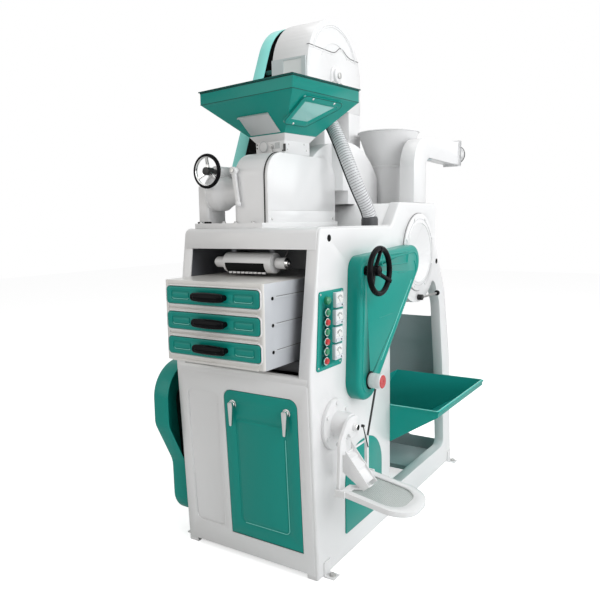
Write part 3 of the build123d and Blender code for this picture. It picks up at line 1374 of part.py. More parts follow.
def air_lever():
    """Fan damper lever on a pivot pin with a ball at its end."""
    lever = x_rod(AIR_AT, 14, RIGHT + SEAT_GAP, RIGHT + 24)
    lever += x_rod(AIR_AT, AIR_PIN_R, INNER + SEAT_GAP, RIGHT + 2)
    arm = rect((AIR_AT[0], AIR_AT[0] + AIR_LENGTH), (AIR_AT[1] - 5, AIR_AT[1] + 5))
    lever += slab(arm, RIGHT + 14, RIGHT + 22)
    return lever + Pos(RIGHT + 18, yd(AIR_AT[0] + AIR_LENGTH), AIR_AT[1]) * Sphere(14)


os.makedirs("parts", exist_ok=True)

NODES = {
    "right_side_panel": right_side_panel(),
    "left_side_panel": left_side_panel(),
    "front_panel": front_panel(),
    "front_door": front_door(),
    "latch_left": latch(latch_places()[0]),
    "latch_right": latch(latch_places()[1]),
    "top_deck": top_deck(),
    "rear_panel": rear_panel(),
    "floor_plate": floor_plate(),
    "foot_brackets": foot_brackets(),
    "separator_bed": separator_bed(),
    "sieve_box": sieve_box(),
    "drawer_upper": drawer(0),
    "drawer_middle": drawer(1),
    "drawer_lower": drawer(2),
    "feed_spreader": feed_spreader(),
    "spreader_shaft": spreader_shaft(),
    "huller_housing": huller_housing(),
    "huller_side_cover": huller_side_cover(),
    "huller_bearing_housing": huller_bearing_housing(),
    "fixed_roll": huller_roll(0),
    "moving_roll": huller_roll(1),
    "gap_handwheel": gap_handwheel(),
    "engaging_lever": engaging_lever(),
    "hopper_neck": on_neck(hopper_neck()),
    "feed_hopper": on_neck(feed_hopper()),
    "sight_window": on_neck(sight_window()),
    "feed_gate": on_neck(feed_gate()),
    "elevator_legs": elevator_legs(),
    "elevator_boot": elevator_boot(),
    "elevator_head": elevator_head(),
    "elevator_head_pulley": elevator_head_pulley(),
    "elevator_belt_guard": elevator_belt_guard(),
    "grain_hose": grain_hose(),
    "husk_duct": husk_duct(),
    "fan_casing": fan_casing(),
    "fan_impeller": fan_impeller(),
    "fan_cover": fan_cover(),
    "rear_funnel": rear_funnel(),
    "fan_outlet_elbow": fan_outlet_elbow(),
    "right_belt_guard": right_belt_guard(),
    "tension_handwheel": tension_handwheel(),
    "pressure_knob": pressure_knob(),
    "control_panel": control_panel(),
    "left_belt_guard": left_belt_guard(),
    "motor": motor(),
    "drive_belts": drive_belts(),
    "whitener_housing": whitener_housing(),
    "whitener_roller": whitener_roller(),
    "outlet_chute": outlet_chute(),
    "screen_trough": screen_trough(),
    "intake_tray": intake_tray(),
    "inspection_cover": inspection_cover(),
    "air_lever": air_lever(),
}
for number in range(BUTTON_COUNT):
    NODES[f"push_button_{number + 1}"] = push_button(number)

for name, shape in NODES.items():
    solids = shape if isinstance(shape, list) else [shape]
    solids = [solid for piece in solids for solid in piece.solids()]
    export_step(solids[0] if len(solids) == 1 else Compound(children=solids), f"parts/{name}.step")
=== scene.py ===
"""Looks of a combined rice mill: huller, elevator, husk fan, separator and whitener in one cabinet."""

import logging
import math
from dataclasses import dataclass
from enum import Enum
from typing import Iterable, Optional, Sequence

import bpy
import numpy as np
from mathutils import Matrix, Vector


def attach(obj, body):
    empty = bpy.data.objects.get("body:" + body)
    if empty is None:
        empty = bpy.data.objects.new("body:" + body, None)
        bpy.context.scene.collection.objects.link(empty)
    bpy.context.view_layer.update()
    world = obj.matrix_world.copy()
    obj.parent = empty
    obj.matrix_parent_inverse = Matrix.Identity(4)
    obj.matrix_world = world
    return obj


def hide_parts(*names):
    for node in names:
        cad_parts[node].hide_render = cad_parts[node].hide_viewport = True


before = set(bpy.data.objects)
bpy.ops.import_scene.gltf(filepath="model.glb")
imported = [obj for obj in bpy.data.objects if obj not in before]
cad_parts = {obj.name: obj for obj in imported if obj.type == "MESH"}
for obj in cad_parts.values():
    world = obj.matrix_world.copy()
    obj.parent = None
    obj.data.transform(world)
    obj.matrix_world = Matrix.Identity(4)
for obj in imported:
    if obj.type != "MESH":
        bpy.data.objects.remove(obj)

LOG = logging.getLogger("rice_mill")
MM = 0.001
FRONT_Y = -745.0
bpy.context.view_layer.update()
WELD_REACH = 2e-5
NODE_EDGE_ANGLE = math.radians(28)
PIECE_EDGE_ANGLE = math.radians(30)
SMOOTH_ANGLE = math.radians(34)
COAT_ROUGHNESS = 0.08
WASHER_REACH = 1.35
RELIEF_REACH = 0.002
MIX_A, MIX_B, MIX_RESULT = 6, 7, 2

Point = Sequence[float]
Pair = tuple[float, float]
Triple = tuple[float, float, float]

RIGHT = (1, 0, 0)
LEFT = (-1, 0, 0)
REAR = (0, 1, 0)
AHEAD = (0, -1, 0)
UP = (0, 0, 1)


class Slot(Enum):
    """Material slots that the finishes belong to."""

    WHITE = "white_paint"
    TEAL = "teal_paint"
    GREY = "grey_paint"
    CHROME = "chromed_steel"
    BLACK = "black_gloss"
    STEEL = "machined_steel"
    ROLL = "roll_rubber"
    BELT = "belt_rubber"
    HOSE = "clear_hose"
    PANE = "clear_pane"
    INSTRUMENT = "instrument_plastic"
    GREEN = "green_button"
    RED = "red_button"


class Grain(Enum):
    """Small-scale relief of a surface."""

    NONE = "none"
    ENAMEL = "enamel"
    CAST = "cast"
    BRUSHED = "brushed"


@dataclass(frozen=True)
class Finish:
    """One surface finish and the values of its shader."""

    name: str
    slot: Slot
    colour: Triple
    roughness: float = 0.35
    metallic: float = 0.0
    coat: float = 0.0
    grain: Grain = Grain.NONE
    grain_depth: float = 0.0
    dust: float = 0.0
    dust_colour: Triple = (0.42, 0.39, 0.33)
    transmission: float = 0.0
    alpha: float = 1.0
    specular: float = 0.5


SPRAYED = {"grain": Grain.ENAMEL, "grain_depth": 0.05}
WHITE = Finish(
    "white_enamel", Slot.WHITE, (0.80, 0.80, 0.80), 0.28, coat=0.30,
    **SPRAYED, dust=0.022,
)
WHITE_CAST = Finish(
    "white_cast", Slot.WHITE, (0.79, 0.79, 0.79), 0.34, coat=0.25,
    grain=Grain.CAST, grain_depth=0.12, dust=0.03,
)
BOX_WHITE = Finish(
    "warm_enamel", Slot.WHITE, (0.76, 0.745, 0.715), 0.30, coat=0.25,
    **SPRAYED, dust=0.10,
)
TEAL = Finish(
    "teal_enamel", Slot.TEAL, (0.003, 0.280, 0.232), 0.32, coat=0.06, specular=0.22,
    **SPRAYED, dust=0.02,
)
# Painted light: a brighter copy of the teal for the tray's inside, which stands in shade.
TEAL_PAINTED_LIGHT = Finish(
    "teal_painted_light", Slot.TEAL, (0.02, 0.44, 0.39), 0.34, coat=0.06, specular=0.22,
    **SPRAYED,
)
# Painted highlight: a light teal for the lit edges of the pads, the guard's crease, the tray rim and the
# door's fold.
TEAL_HIGHLIGHT = Finish("teal_painted_highlight", Slot.TEAL, (0.16, 0.62, 0.54), 0.30, coat=0.2)
TEAL_DARK = Finish("teal_shaded", Slot.TEAL, (0.002, 0.060, 0.052), 0.45, specular=0.2)
AQUA = Finish(
    "aqua_enamel", Slot.TEAL, (0.30, 0.84, 0.78), 0.32, coat=0.10, specular=0.3,
    grain=Grain.ENAMEL, grain_depth=0.04,
)
GREY = Finish(
    "grey_enamel", Slot.GREY, (0.44, 0.54, 0.55), 0.42,
    **SPRAYED, dust=0.12,
)
ZINC = Finish("zinc_plate", Slot.GREY, (0.56, 0.58, 0.58), 0.38, coat=0.2)
CHROME = Finish("bright_chrome", Slot.CHROME, (0.78, 0.78, 0.77), 0.10, 1.0)
STEEL = Finish(
    "turned_steel", Slot.STEEL, (0.52, 0.52, 0.51), 0.30, 1.0,
    grain=Grain.BRUSHED, grain_depth=0.05,
)
DARK_STEEL = Finish("black_oxide", Slot.STEEL, (0.035, 0.035, 0.035), 0.40, 0.6)
BLACK = Finish(
    "black_bakelite", Slot.BLACK, (0.004, 0.004, 0.005), 0.20, specular=0.06,
    grain=Grain.ENAMEL, grain_depth=0.03,
)
ROLL = Finish("roll_rubber", Slot.ROLL, (0.10, 0.035, 0.020), 0.6)
BELT = Finish("belt_rubber", Slot.BELT, (0.018, 0.018, 0.018), 0.6, specular=0.3)
HOSE = Finish("hose_wall", Slot.HOSE, (0.74, 0.75, 0.76), 0.22, alpha=0.88)
WIRE = Finish("hose_coil", Slot.HOSE, (0.13, 0.13, 0.14), 0.4)
PANE = Finish("aqua_pane", Slot.PANE, (0.42, 0.78, 0.74), 0.10, transmission=0.35)
METER_CASE = Finish("meter_case", Slot.INSTRUMENT, (0.70, 0.73, 0.76), 0.18, coat=0.5)
DIAL = Finish("dial_face", Slot.INSTRUMENT, (0.82, 0.82, 0.80), 0.45)
INK = Finish("dial_ink", Slot.INSTRUMENT, (0.02, 0.02, 0.022), 0.5)
GREEN = Finish("green_cap", Slot.GREEN, (0.015, 0.23, 0.10), 0.22, coat=0.4)
RED = Finish("red_cap", Slot.RED, (0.52, 0.015, 0.018), 0.22, coat=0.4)
SHADOW = Finish("dark_gap", Slot.BELT, (0.010, 0.010, 0.010), 0.8, specular=0.1)
# Dark grey lining of the bay, darker than its paint as painted shade; on the spreader's straps it is painted
# shade only.
LINING_AND_SHADE = Finish(
    "dark_lining_and_shade", Slot.BELT, (0.20, 0.206, 0.228), 0.30, specular=0.7,
    grain=Grain.ENAMEL, grain_depth=0.04,
)
SEAM = Finish("seam_shadow", Slot.WHITE, (0.10, 0.10, 0.10), 0.7)
CREASE = Finish("fold_shade", Slot.WHITE, (0.46, 0.47, 0.48), 0.5)
DARK_GREY = Finish("dark_grey_enamel", Slot.GREY, (0.050, 0.052, 0.056), 0.40, specular=0.4)
SCREEN_WIRE = Finish("screen_wire", Slot.WHITE, (0.62, 0.66, 0.64), 0.3, 0.6)
SCREEN = Finish("screen_floor", Slot.WHITE, (0.80, 0.82, 0.81), 0.4, alpha=0.55)
# Greyer white of the separator box's right side: partly its own grey paint, partly painted shade from the
# pillar beside it.
BOX_SIDE_AND_SHADE = Finish(
    "grey_white_and_shade", Slot.WHITE, (0.50, 0.52, 0.545), 0.32, coat=0.2,
    **SPRAYED, dust=0.10,
)
# Painted shade: a pale grey for the elevator head's front frame.
FRAME_SHADE = Finish(
    "pale_grey_painted_shade", Slot.WHITE, (0.60, 0.64, 0.65), 0.35, **SPRAYED
)


class NodeBuilder:
    """Builds shader nodes and links in one node tree."""

    def __init__(self, tree: bpy.types.NodeTree) -> None:
        """Keeps the tree."""
        self.tree = tree

    def add(self, kind: str, **values: object) -> bpy.types.Node:
        """Adds a node.

        Args:
            kind: Blender's node type name.
            values: attributes of the node, or default values of its inputs.

        Returns:
            The new node.
        """
        node = self.tree.nodes.new(kind)
        for key, value in values.items():
            if hasattr(node, key):
                setattr(node, key, value)
            else:
                node.inputs[key.replace("_", " ")].default_value = value
        return node

    def wire(self, *links: tuple) -> None:
        """Links sockets; each link is a node, its output, the next node and that one's input."""
        for source, out, target, into in links:
            self.tree.links.new(source.outputs[out], target.inputs[into])

    @staticmethod
    def fill(node: bpy.types.Node, values: dict) -> None:
        """Sets the default values of a node's inputs."""
        for socket, value in values.items():
            node.inputs[socket].default_value = value


class Effects:
    """Shader node groups that several finishes share."""

    def __init__(self) -> None:
        """Builds each group once."""
        self.relief = self._relief()
        self.dusting = self._dusting()
        self.smudging = self._smudging()

    @staticmethod
    def _start(
        name: str, inputs: Sequence[tuple[str, str, object]], outputs: Sequence[tuple[str, str]]
    ) -> tuple:
        """Makes an empty group with sockets.

        Args:
            name: the group's name.
            inputs: name, socket type and default of each input.
            outputs: name and socket type of each output.

        Returns:
            The group, its builder, its input node and its output node.
        """
        group = bpy.data.node_groups.new(name, "ShaderNodeTree")
        for label, kind, default in inputs:
            socket = group.interface.new_socket(label, in_out="INPUT", socket_type=kind)
            socket.default_value = default
        for label, kind in outputs:
            group.interface.new_socket(label, in_out="OUTPUT", socket_type=kind)
        build = NodeBuilder(group)
        return group, build, build.add("NodeGroupInput"), build.add("NodeGroupOutput")

    def _relief(self) -> bpy.types.NodeTree:
        """Height of sprayed enamel or sand-cast skin: noise at two sizes, added together."""
        group, build, source, sink = self._start(
            "surface_relief", [("Size", "NodeSocketFloat", 180.0)], [("Height", "NodeSocketFloat")]
        )
        place = build.add("ShaderNodeTexCoord")
        fine = build.add("ShaderNodeTexNoise", Detail=2.0, Roughness=0.5)
        broad = build.add("ShaderNodeTexNoise", Scale=9.0, Detail=1.0)
        total = build.add("ShaderNodeMath", operation="ADD")
        build.wire(
            (place, "Object", fine, "Vector"), (source, "Size", fine, "Scale"),
            (place, "Object", broad, "Vector"), (fine, "Fac", total, 0), (broad, "Fac", total, 1),
            (total, 0, sink, "Height"),
        )
        return group

    def _dusting(self) -> bpy.types.NodeTree:
        """Mask of thin workshop dust: broad noise, stronger on level faces and low down."""
        group, build, source, sink = self._start(
            "workshop_dust", [("Amount", "NodeSocketFloat", 0.1)], [("Mask", "NodeSocketFloat")]
        )
        place = build.add("ShaderNodeTexCoord")
        facing = build.add("ShaderNodeNewGeometry")
        split = build.add("ShaderNodeSeparateXYZ")
        level = build.add("ShaderNodeMapRange", From_Min=0.4, From_Max=1.0, To_Min=0.35, To_Max=1.0)
        height = build.add("ShaderNodeSeparateXYZ")
        low = build.add("ShaderNodeMapRange", From_Min=0.0, From_Max=0.5, To_Min=1.6, To_Max=1.0)
        cloud = build.add("ShaderNodeTexNoise", Scale=3.2, Detail=2.5, Roughness=0.5)
        spread = build.add("ShaderNodeMapRange", From_Min=0.25, From_Max=0.85)
        first = build.add("ShaderNodeMath", operation="MULTIPLY")
        second = build.add("ShaderNodeMath", operation="MULTIPLY")
        third = build.add("ShaderNodeMath", operation="MULTIPLY", use_clamp=True)
        build.wire(
            (facing, "Normal", split, 0), (split, "Z", level, "Value"), (place, "Object", height, 0),
            (height, "Z", low, "Value"), (place, "Object", cloud, "Vector"),
            (cloud, "Fac", spread, "Value"), (spread, "Result", first, 0), (level, "Result", first, 1),
            (first, 0, second, 0), (low, "Result", second, 1), (second, 0, third, 0),
            (source, "Amount", third, 1), (third, 0, sink, "Mask"),
        )
        return group

    def _smudging(self) -> bpy.types.NodeTree:
        """Uneven gloss of handled surfaces: the plain roughness, moved up and down by broad noise."""
        group, build, source, sink = self._start(
            "handled_gloss", [("Roughness", "NodeSocketFloat", 0.3)], [("Roughness", "NodeSocketFloat")]
        )
        place = build.add("ShaderNodeTexCoord")
        cloud = build.add("ShaderNodeTexNoise", Scale=7.5, Detail=4.0, Roughness=0.55)
        swing = build.add("ShaderNodeMapRange", From_Min=0.3, From_Max=0.7, To_Min=0.93, To_Max=1.08)
        level = build.add("ShaderNodeMath", operation="MULTIPLY", use_clamp=True)
        build.wire(
            (place, "Object", cloud, "Vector"), (cloud, "Fac", swing, "Value"),
            (swing, "Result", level, 0), (source, "Roughness", level, 1), (level, 0, sink, "Roughness"),
        )
        return group


class Paintshop:
    """Turns finishes into materials, one material per finish."""

    GRAIN_SIZE = {Grain.ENAMEL: 210.0, Grain.CAST: 120.0, Grain.BRUSHED: 400.0}

    def __init__(self) -> None:
        """Starts with the shared effects and no material."""
        self.effects = Effects()
        self.made: dict[str, bpy.types.Material] = {}

    def material(self, finish: Finish) -> bpy.types.Material:
        """Gives the material of a finish.

        Args:
            finish: the finish wanted.

        Returns:
            Its material, made on first use.
        """
        if finish.name not in self.made:
            self.made[finish.name] = self._make(finish)
        return self.made[finish.name]

    def _make(self, finish: Finish) -> bpy.types.Material:
        """Builds a Principled material with the finish's uneven gloss, dust and relief.

        Args:
            finish: the finish to build.

        Returns:
            The new material.
        """
        material = bpy.data.materials.new(finish.name)
        material.use_nodes = True
        build = NodeBuilder(material.node_tree)
        shader = material.node_tree.nodes["Principled BSDF"]
        build.fill(shader, {
            "Base Color": (*finish.colour, 1.0), "Roughness": finish.roughness, "Metallic": finish.metallic,
            "Specular IOR Level": finish.specular, "Coat Weight": finish.coat,
            "Coat Roughness": COAT_ROUGHNESS, "Transmission Weight": finish.transmission,
            "Alpha": finish.alpha,
        })
        opaque = finish.transmission == 0.0 and finish.alpha == 1.0
        if opaque and finish.slot is not Slot.WHITE:
            smudge = build.add("ShaderNodeGroup", node_tree=self.effects.smudging, Roughness=finish.roughness)
            build.wire((smudge, "Roughness", shader, "Roughness"))
        if finish.dust > 0.0:
            mask = build.add("ShaderNodeGroup", node_tree=self.effects.dusting, Amount=finish.dust)
            blend = build.add("ShaderNodeMix", data_type="RGBA")
            build.fill(blend, {MIX_A: (*finish.colour, 1.0), MIX_B: (*finish.dust_colour, 1.0)})
            build.wire(
                (mask, "Mask", blend, 0), (blend, MIX_RESULT, shader, "Base Color"),
            )
        if finish.grain is not Grain.NONE:
            size = self.GRAIN_SIZE[finish.grain]
            relief = build.add("ShaderNodeGroup", node_tree=self.effects.relief, Size=size)
            bump = build.add("ShaderNodeBump", Strength=finish.grain_depth, Distance=RELIEF_REACH)
            build.wire(
                (relief, "Height", bump, "Height"), (bump, "Normal", shader, "Normal"),
            )
        return material


PAINT = Paintshop()


def break_edges(piece: bpy.types.Object, width: float, angle: float) -> bpy.types.Modifier:
    """Bevels a piece's edges that are sharper than an angle, by a width in mm."""
    bevel = piece.modifiers.new("edge", "BEVEL")
    bevel.width = width * MM
    bevel.segments = 2
    bevel.limit_method = "ANGLE"
    bevel.angle_limit = angle
    return bevel


def dress(node: str, finish: Finish, edge: float = 1.2) -> None:
    """Paints a CAD node and breaks its sharp edges.

    Args:
        node: the CAD node's name.
        finish: its finish.
        edge: width of the broken edge in mm; 0 leaves the edges sharp.
    """
    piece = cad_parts[node]
    piece.data.materials.clear()
    piece.data.materials.append(PAINT.material(finish))
    piece.data.shade_smooth()
    weld = piece.modifiers.new("weld", "WELD")
    weld.merge_threshold = WELD_REACH
    if edge > 0.0:
        bevel = break_edges(piece, edge, NODE_EDGE_ANGLE)
        bevel.harden_normals = True
        bevel.use_clamp_overlap = True
    LOG.info("dressed %s", node)


def repaint(node: str, finish: Finish, chosen: np.ndarray) -> None:
    """Gives some faces of a CAD node a second finish.

    Args:
        node: the CAD node's name.
        finish: the finish of the chosen faces.
        chosen: one flag per face.
    """
    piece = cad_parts[node]
    piece.data.materials.append(PAINT.material(finish))
    index = np.zeros(len(piece.data.polygons), np.int32)
    piece.data.polygons.foreach_get("material_index", index)
    index[chosen] = len(piece.data.materials) - 1
    piece.data.polygons.foreach_set("material_index", index)


def face_rows(node: str, value: str) -> np.ndarray:
    """Reads a named value of each face of a CAD node, as rows of three."""
    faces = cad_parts[node].data.polygons
    rows = np.zeros(len(faces) * 3, np.float32)
    faces.foreach_get(value, rows)
    return rows.reshape(-1, 3)


def face_normals(node: str) -> np.ndarray:
    """Outward direction of each face of a CAD node, as rows of X, depth and Z."""
    return face_rows(node, "normal")


def face_centres(node: str) -> np.ndarray:
    """Middle of each face of a CAD node in mm, as rows of X, depth and Z."""
    rows = face_rows(node, "center") / MM
    rows[:, 1] -= FRONT_Y
    return rows


@dataclass
class Surface:
    """Points in mm, as rows of X, depth and Z, and the faces between them."""

    points: np.ndarray
    faces: list[list[int]]

    @staticmethod
    def grid(
        points: np.ndarray, wrap_rows: bool = False, wrap_columns: bool = False, caps: bool = False
    ) -> "Surface":
        """Joins a grid of points with quads.

        Args:
            points: array of rows by columns by 3.
            wrap_rows: True joins the last row to the first.
            wrap_columns: True joins the last column to the first.
            caps: True closes the first and the last row with a flat face.

        Returns:
            The surface.
        """
        rows, columns = points.shape[:2]
        r = np.arange(rows if wrap_rows else rows - 1)[:, None]
        c = np.arange(columns if wrap_columns else columns - 1)[None, :]
        r2, c2 = (r + 1) % rows, (c + 1) % columns
        quads = np.stack([r * columns + c, r * columns + c2, r2 * columns + c2, r2 * columns + c], axis=-1)
        faces = quads.reshape(-1, 4).tolist()
        if caps:
            faces.append(list(range(columns))[::-1])
            faces.append(list(range((rows - 1) * columns, rows * columns)))
        return Surface(points.reshape(-1, 3), faces)

    @staticmethod
    def joined(parts: Iterable["Surface"]) -> "Surface":
        """Puts several surfaces into one."""
        points, faces, start = [], [], 0
        for part in parts:
            points.append(part.points)
            faces.extend([[start + i for i in face] for face in part.faces])
            start += len(part.points)
        return Surface(np.concatenate(points), faces)

    def piece(self, name: str, finish: Finish, body: str = "frame", bevel: float = 0.0) -> bpy.types.Object:
        """Makes the surface a piece of the object.

        Args:
            name: the piece's name.
            finish: its finish.
            body: the CAD body that it rides on.
            bevel: width in mm of its broken edges, or 0.

        Returns:
            The new object.
        """
        where = (self.points + np.array([0.0, FRONT_Y, 0.0])) * MM
        mesh = bpy.data.meshes.new(name)
        mesh.from_pydata(where.tolist(), [], self.faces)
        mesh.materials.append(PAINT.material(finish))
        made = bpy.data.objects.new(name, mesh)
        bpy.context.scene.collection.objects.link(made)
        bpy.context.view_layer.objects.active = made
        mesh.shade_smooth()
        mesh.set_sharp_from_angle(angle=SMOOTH_ANGLE)
        if bevel > 0.0:
            break_edges(made, bevel, PIECE_EDGE_ANGLE)
        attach(made, body)
        LOG.info("built %s", name)
        return made


def unit(rows: np.ndarray) -> np.ndarray:
    """Scales each row to length 1."""
    return rows / np.maximum(np.linalg.norm(rows, axis=-1, keepdims=True), 1e-9)


def circle(radius: float, count: int = 24, start: float = 0.0) -> np.ndarray:
    """Points of a circle, as radius times the cosine and sine of equal steps of angle."""
    angle = start + np.arange(count) * 2.0 * math.pi / count
    return radius * np.stack([np.cos(angle), np.sin(angle)], axis=-1)


def swept(
    path: np.ndarray, profile: np.ndarray, up: Point,
    closed: bool = False, swell: Optional[np.ndarray] = None,
) -> Surface:
    """Carries a closed profile along a path: point = path + side * u + lift * v, side = up x tangent.

    Args:
        path: the path's points, one per row.
        profile: the section's (u, v) points.
        up: a direction that the path never follows.
        closed: True where the path ends where it starts.
        swell: scale of the section at each point of the path.

    Returns:
        The swept surface, capped where the path is open.
    """
    if closed:
        tangent = unit(np.roll(path, -1, axis=0) - np.roll(path, 1, axis=0))
    else:
        tangent = unit(np.gradient(path, axis=0))
    side = unit(np.cross(np.broadcast_to(np.array(up, float), tangent.shape), tangent))
    lift = np.cross(tangent, side)
    scale = np.ones(len(path)) if swell is None else swell
    grown = profile[None, :, :] * scale[:, None, None]
    points = path[:, None, :] + side[:, None, :] * grown[..., :1] + lift[:, None, :] * grown[..., 1:]
    return Surface.grid(points, wrap_rows=closed, wrap_columns=True, caps=not closed)


def turned(
    profile: Sequence[Pair], origin: Point, axis: Point, count: int = 40, hoop: bool = False
) -> Surface:
    """Turns a (radius, height) profile about an axis: point = origin + axis * h + (u cos + v sin) * r.

    Args:
        profile: the outline from one end to the other.
        origin: a point on the axis.
        axis: the axis' direction.
        count: number of steps round the axis.
        hoop: True joins the profile's end to its start, which leaves the middle open.

    Returns:
        The turned surface, capped at both ends unless it is a hoop.
    """
    outline = np.array(profile, float)
    ahead = unit(np.array(axis, float))
    helper = np.array([0.0, 0.0, 1.0]) if abs(ahead[2]) < 0.9 else np.array([1.0, 0.0, 0.0])
    u = unit(np.cross(helper, ahead))
    v = np.cross(ahead, u)
    ring = circle(1.0, count)
    spokes = ring[:, :1] * u + ring[:, 1:] * v
    middle = np.array(origin, float) + outline[:, None, 1:] * ahead
    points = middle + outline[:, None, :1] * spokes[None, :, :]
    return Surface.grid(points, wrap_rows=hoop, wrap_columns=True, caps=not hoop)


def corner_arcs(
    spots: np.ndarray, before: np.ndarray, after: np.ndarray, radii: np.ndarray, steps: int
) -> np.ndarray:
    """Replaces corners by arcs: middle + (sin((1-t)s) first + sin(ts) last) / sin(s), s the arc's angle.

    Args:
        spots: the corners, one per row.
        before: the point that leads to each corner.
        after: the point that each corner leads to.
        radii: each arc's radius.
        steps: number of steps in each arc.

    Returns:
        The arcs' points, one per row.
    """
    back, ahead = unit(before - spots), unit(after - spots)
    half = np.arccos(np.clip((back * ahead).sum(-1), -1.0, 1.0)) / 2.0
    middle = spots + unit(back + ahead) * (radii / np.sin(half))[:, None]
    reach = (radii / np.tan(half))[:, None]
    first, last = ((spots + way * reach - middle)[:, None, :] for way in (back, ahead))
    t = np.linspace(0.0, 1.0, steps + 1)[None, :, None]
    s = (math.pi - 2.0 * half)[:, None, None]
    arcs = (np.sin((1.0 - t) * s) * first + np.sin(t * s) * last) / np.sin(s)
    return (middle[:, None, :] + arcs).reshape(-1, spots.shape[1])


def rounded(corners: Sequence[Triple], steps: int = 8) -> np.ndarray:
    """Closed outline through corners given as (u, v, radius), each corner an arc of equal steps."""
    rows = np.array(corners, float)
    spots, radii = rows[:, :2], np.maximum(rows[:, 2], 1e-3)
    return corner_arcs(spots, np.roll(spots, 1, axis=0), np.roll(spots, -1, axis=0), radii, steps)


def rectangle(u: Pair, v: Pair, radius: float, steps: int = 8) -> np.ndarray:
    """Closed outline of a rectangle with round corners.

    Args:
        u: its left and right edge.
        v: its lower and upper edge.
        radius: the radius of each corner.
        steps: number of steps in each corner's arc.

    Returns:
        The outline's points.
    """
    (u0, u1), (v0, v1) = u, v
    return rounded([(u0, v0, radius), (u1, v0, radius), (u1, v1, radius), (u0, v1, radius)], steps)


def bar_section(half: float, tall: float) -> np.ndarray:
    """Section of a flat bar, from half of its width and half of its height."""
    return np.array([(-half, -tall), (half, -tall), (half, tall), (-half, tall)])


def side_arc(x: float, centre: Pair, reach: float, turn: np.ndarray) -> np.ndarray:
    """Arc on an upright plane that faces right: depth + reach * cos, height + reach * sin."""
    depth, height = centre
    return np.stack([np.full(len(turn), x), depth + reach * np.cos(turn), height + reach * np.sin(turn)], -1)


def inset(outline: np.ndarray, by: float) -> np.ndarray:
    """Draws a closed outline in by a distance along its own normals."""
    along = unit(np.roll(outline, -1, axis=0) - np.roll(outline, 1, axis=0))
    turn = np.stack([-along[:, 1], along[:, 0]], axis=-1)
    edge = np.roll(outline, -1, axis=0) - outline
    area = (outline[:, 0] * edge[:, 1] - outline[:, 1] * edge[:, 0]).sum()
    return outline + turn * by * np.sign(area)


@dataclass(frozen=True)
class Facing:
    """Plane that a pressed form lies on: its own two axes, and the way out of it."""

    across: Triple
    up: Triple
    out: Triple

    def place(self, flat: np.ndarray, out: np.ndarray, base: Point) -> np.ndarray:
        """Puts flat (u, v) points at heights above the plane through base."""
        u, v, n = (np.array(axis, float) for axis in (self.across, self.up, self.out))
        return np.array(base, float) + flat[..., :1] * u + flat[..., 1:] * v + out[..., None] * n


RIGHT_SIDE = Facing(REAR, UP, RIGHT)
FRONT_SIDE = Facing(RIGHT, UP, AHEAD)
TOP_SIDE = Facing(RIGHT, REAR, UP)


def pressed(outline: np.ndarray, steps: Sequence[Pair], facing: Facing, base: Point) -> Surface:
    """Stacks an outline, drawn in and raised step by step, and closes it with a flat top.

    Args:
        outline: the foot's outline.
        steps: (inset, height) of each ring from the foot up.
        facing: the plane that it lies on.
        base: a point of that plane.

    Returns:
        The pressed form.
    """
    rings = [facing.place(inset(outline, i), np.full(len(outline), h), base) for i, h in steps]
    return Surface.grid(np.stack(rings), wrap_columns=True, caps=True)


def ridge(outline: np.ndarray, half: float, height: float, facing: Facing, base: Point) -> Surface:
    """Low rounded ridge along a closed outline: half a sine wave across its width.

    Args:
        outline: the line that the ridge follows.
        half: half of its width.
        height: its height.
        facing: the plane that it lies on.
        base: a point of that plane.

    Returns:
        The ridge.
    """
    t = np.linspace(0.0, math.pi, 7)
    flat = np.ones(len(outline))
    rings = [facing.place(inset(outline, half * math.cos(a)), flat * (height * math.sin(a)), base) for a in t]
    return Surface.grid(np.stack(rings), wrap_columns=True)


def bead(path: np.ndarray, radius: float, up: Point, count: int = 10) -> Surface:
    """Round bar along an open path."""
    return swept(path, circle(radius, count), up)


def hex_bolts(spots: Sequence[Point], axis: Point, radius: float, height: float) -> Surface:
    """Hexagon heads on washers at several places.

    Args:
        spots: the bolts' seats.
        axis: the way the heads stand out.
        radius: half of a head's width across corners.
        height: a head's height over its washer.

    Returns:
        All the bolts as one surface.
    """
    parts = []
    for spot in spots:
        seat = np.array(spot, float)
        ahead = unit(np.array(axis, float))
        flat = radius * WASHER_REACH
        disc = [(flat, -0.2), (flat, height * 0.2), (flat - 0.4, height * 0.26)]
        parts.append(turned(disc, seat, axis, 20))
        head = [(radius, height * 0.2), (radius, height * 0.95), (radius * 0.86, height * 1.2)]
        parts.append(turned(head, seat + ahead * 0.01, axis, 6))
    return Surface.joined(parts)


def screws(spots: Sequence[Point], axis: Point, radius: float) -> Surface:
    """Domed screw heads at several places: quarter-round profiles turned about the axis."""
    t = np.linspace(0.0, math.pi / 2, 6)
    dome = [(radius, -0.3)] + [(radius * math.cos(a) + 0.01, radius * 0.5 * math.sin(a)) for a in t]
    return Surface.joined([turned(dome, spot, axis, 16) for spot in spots])


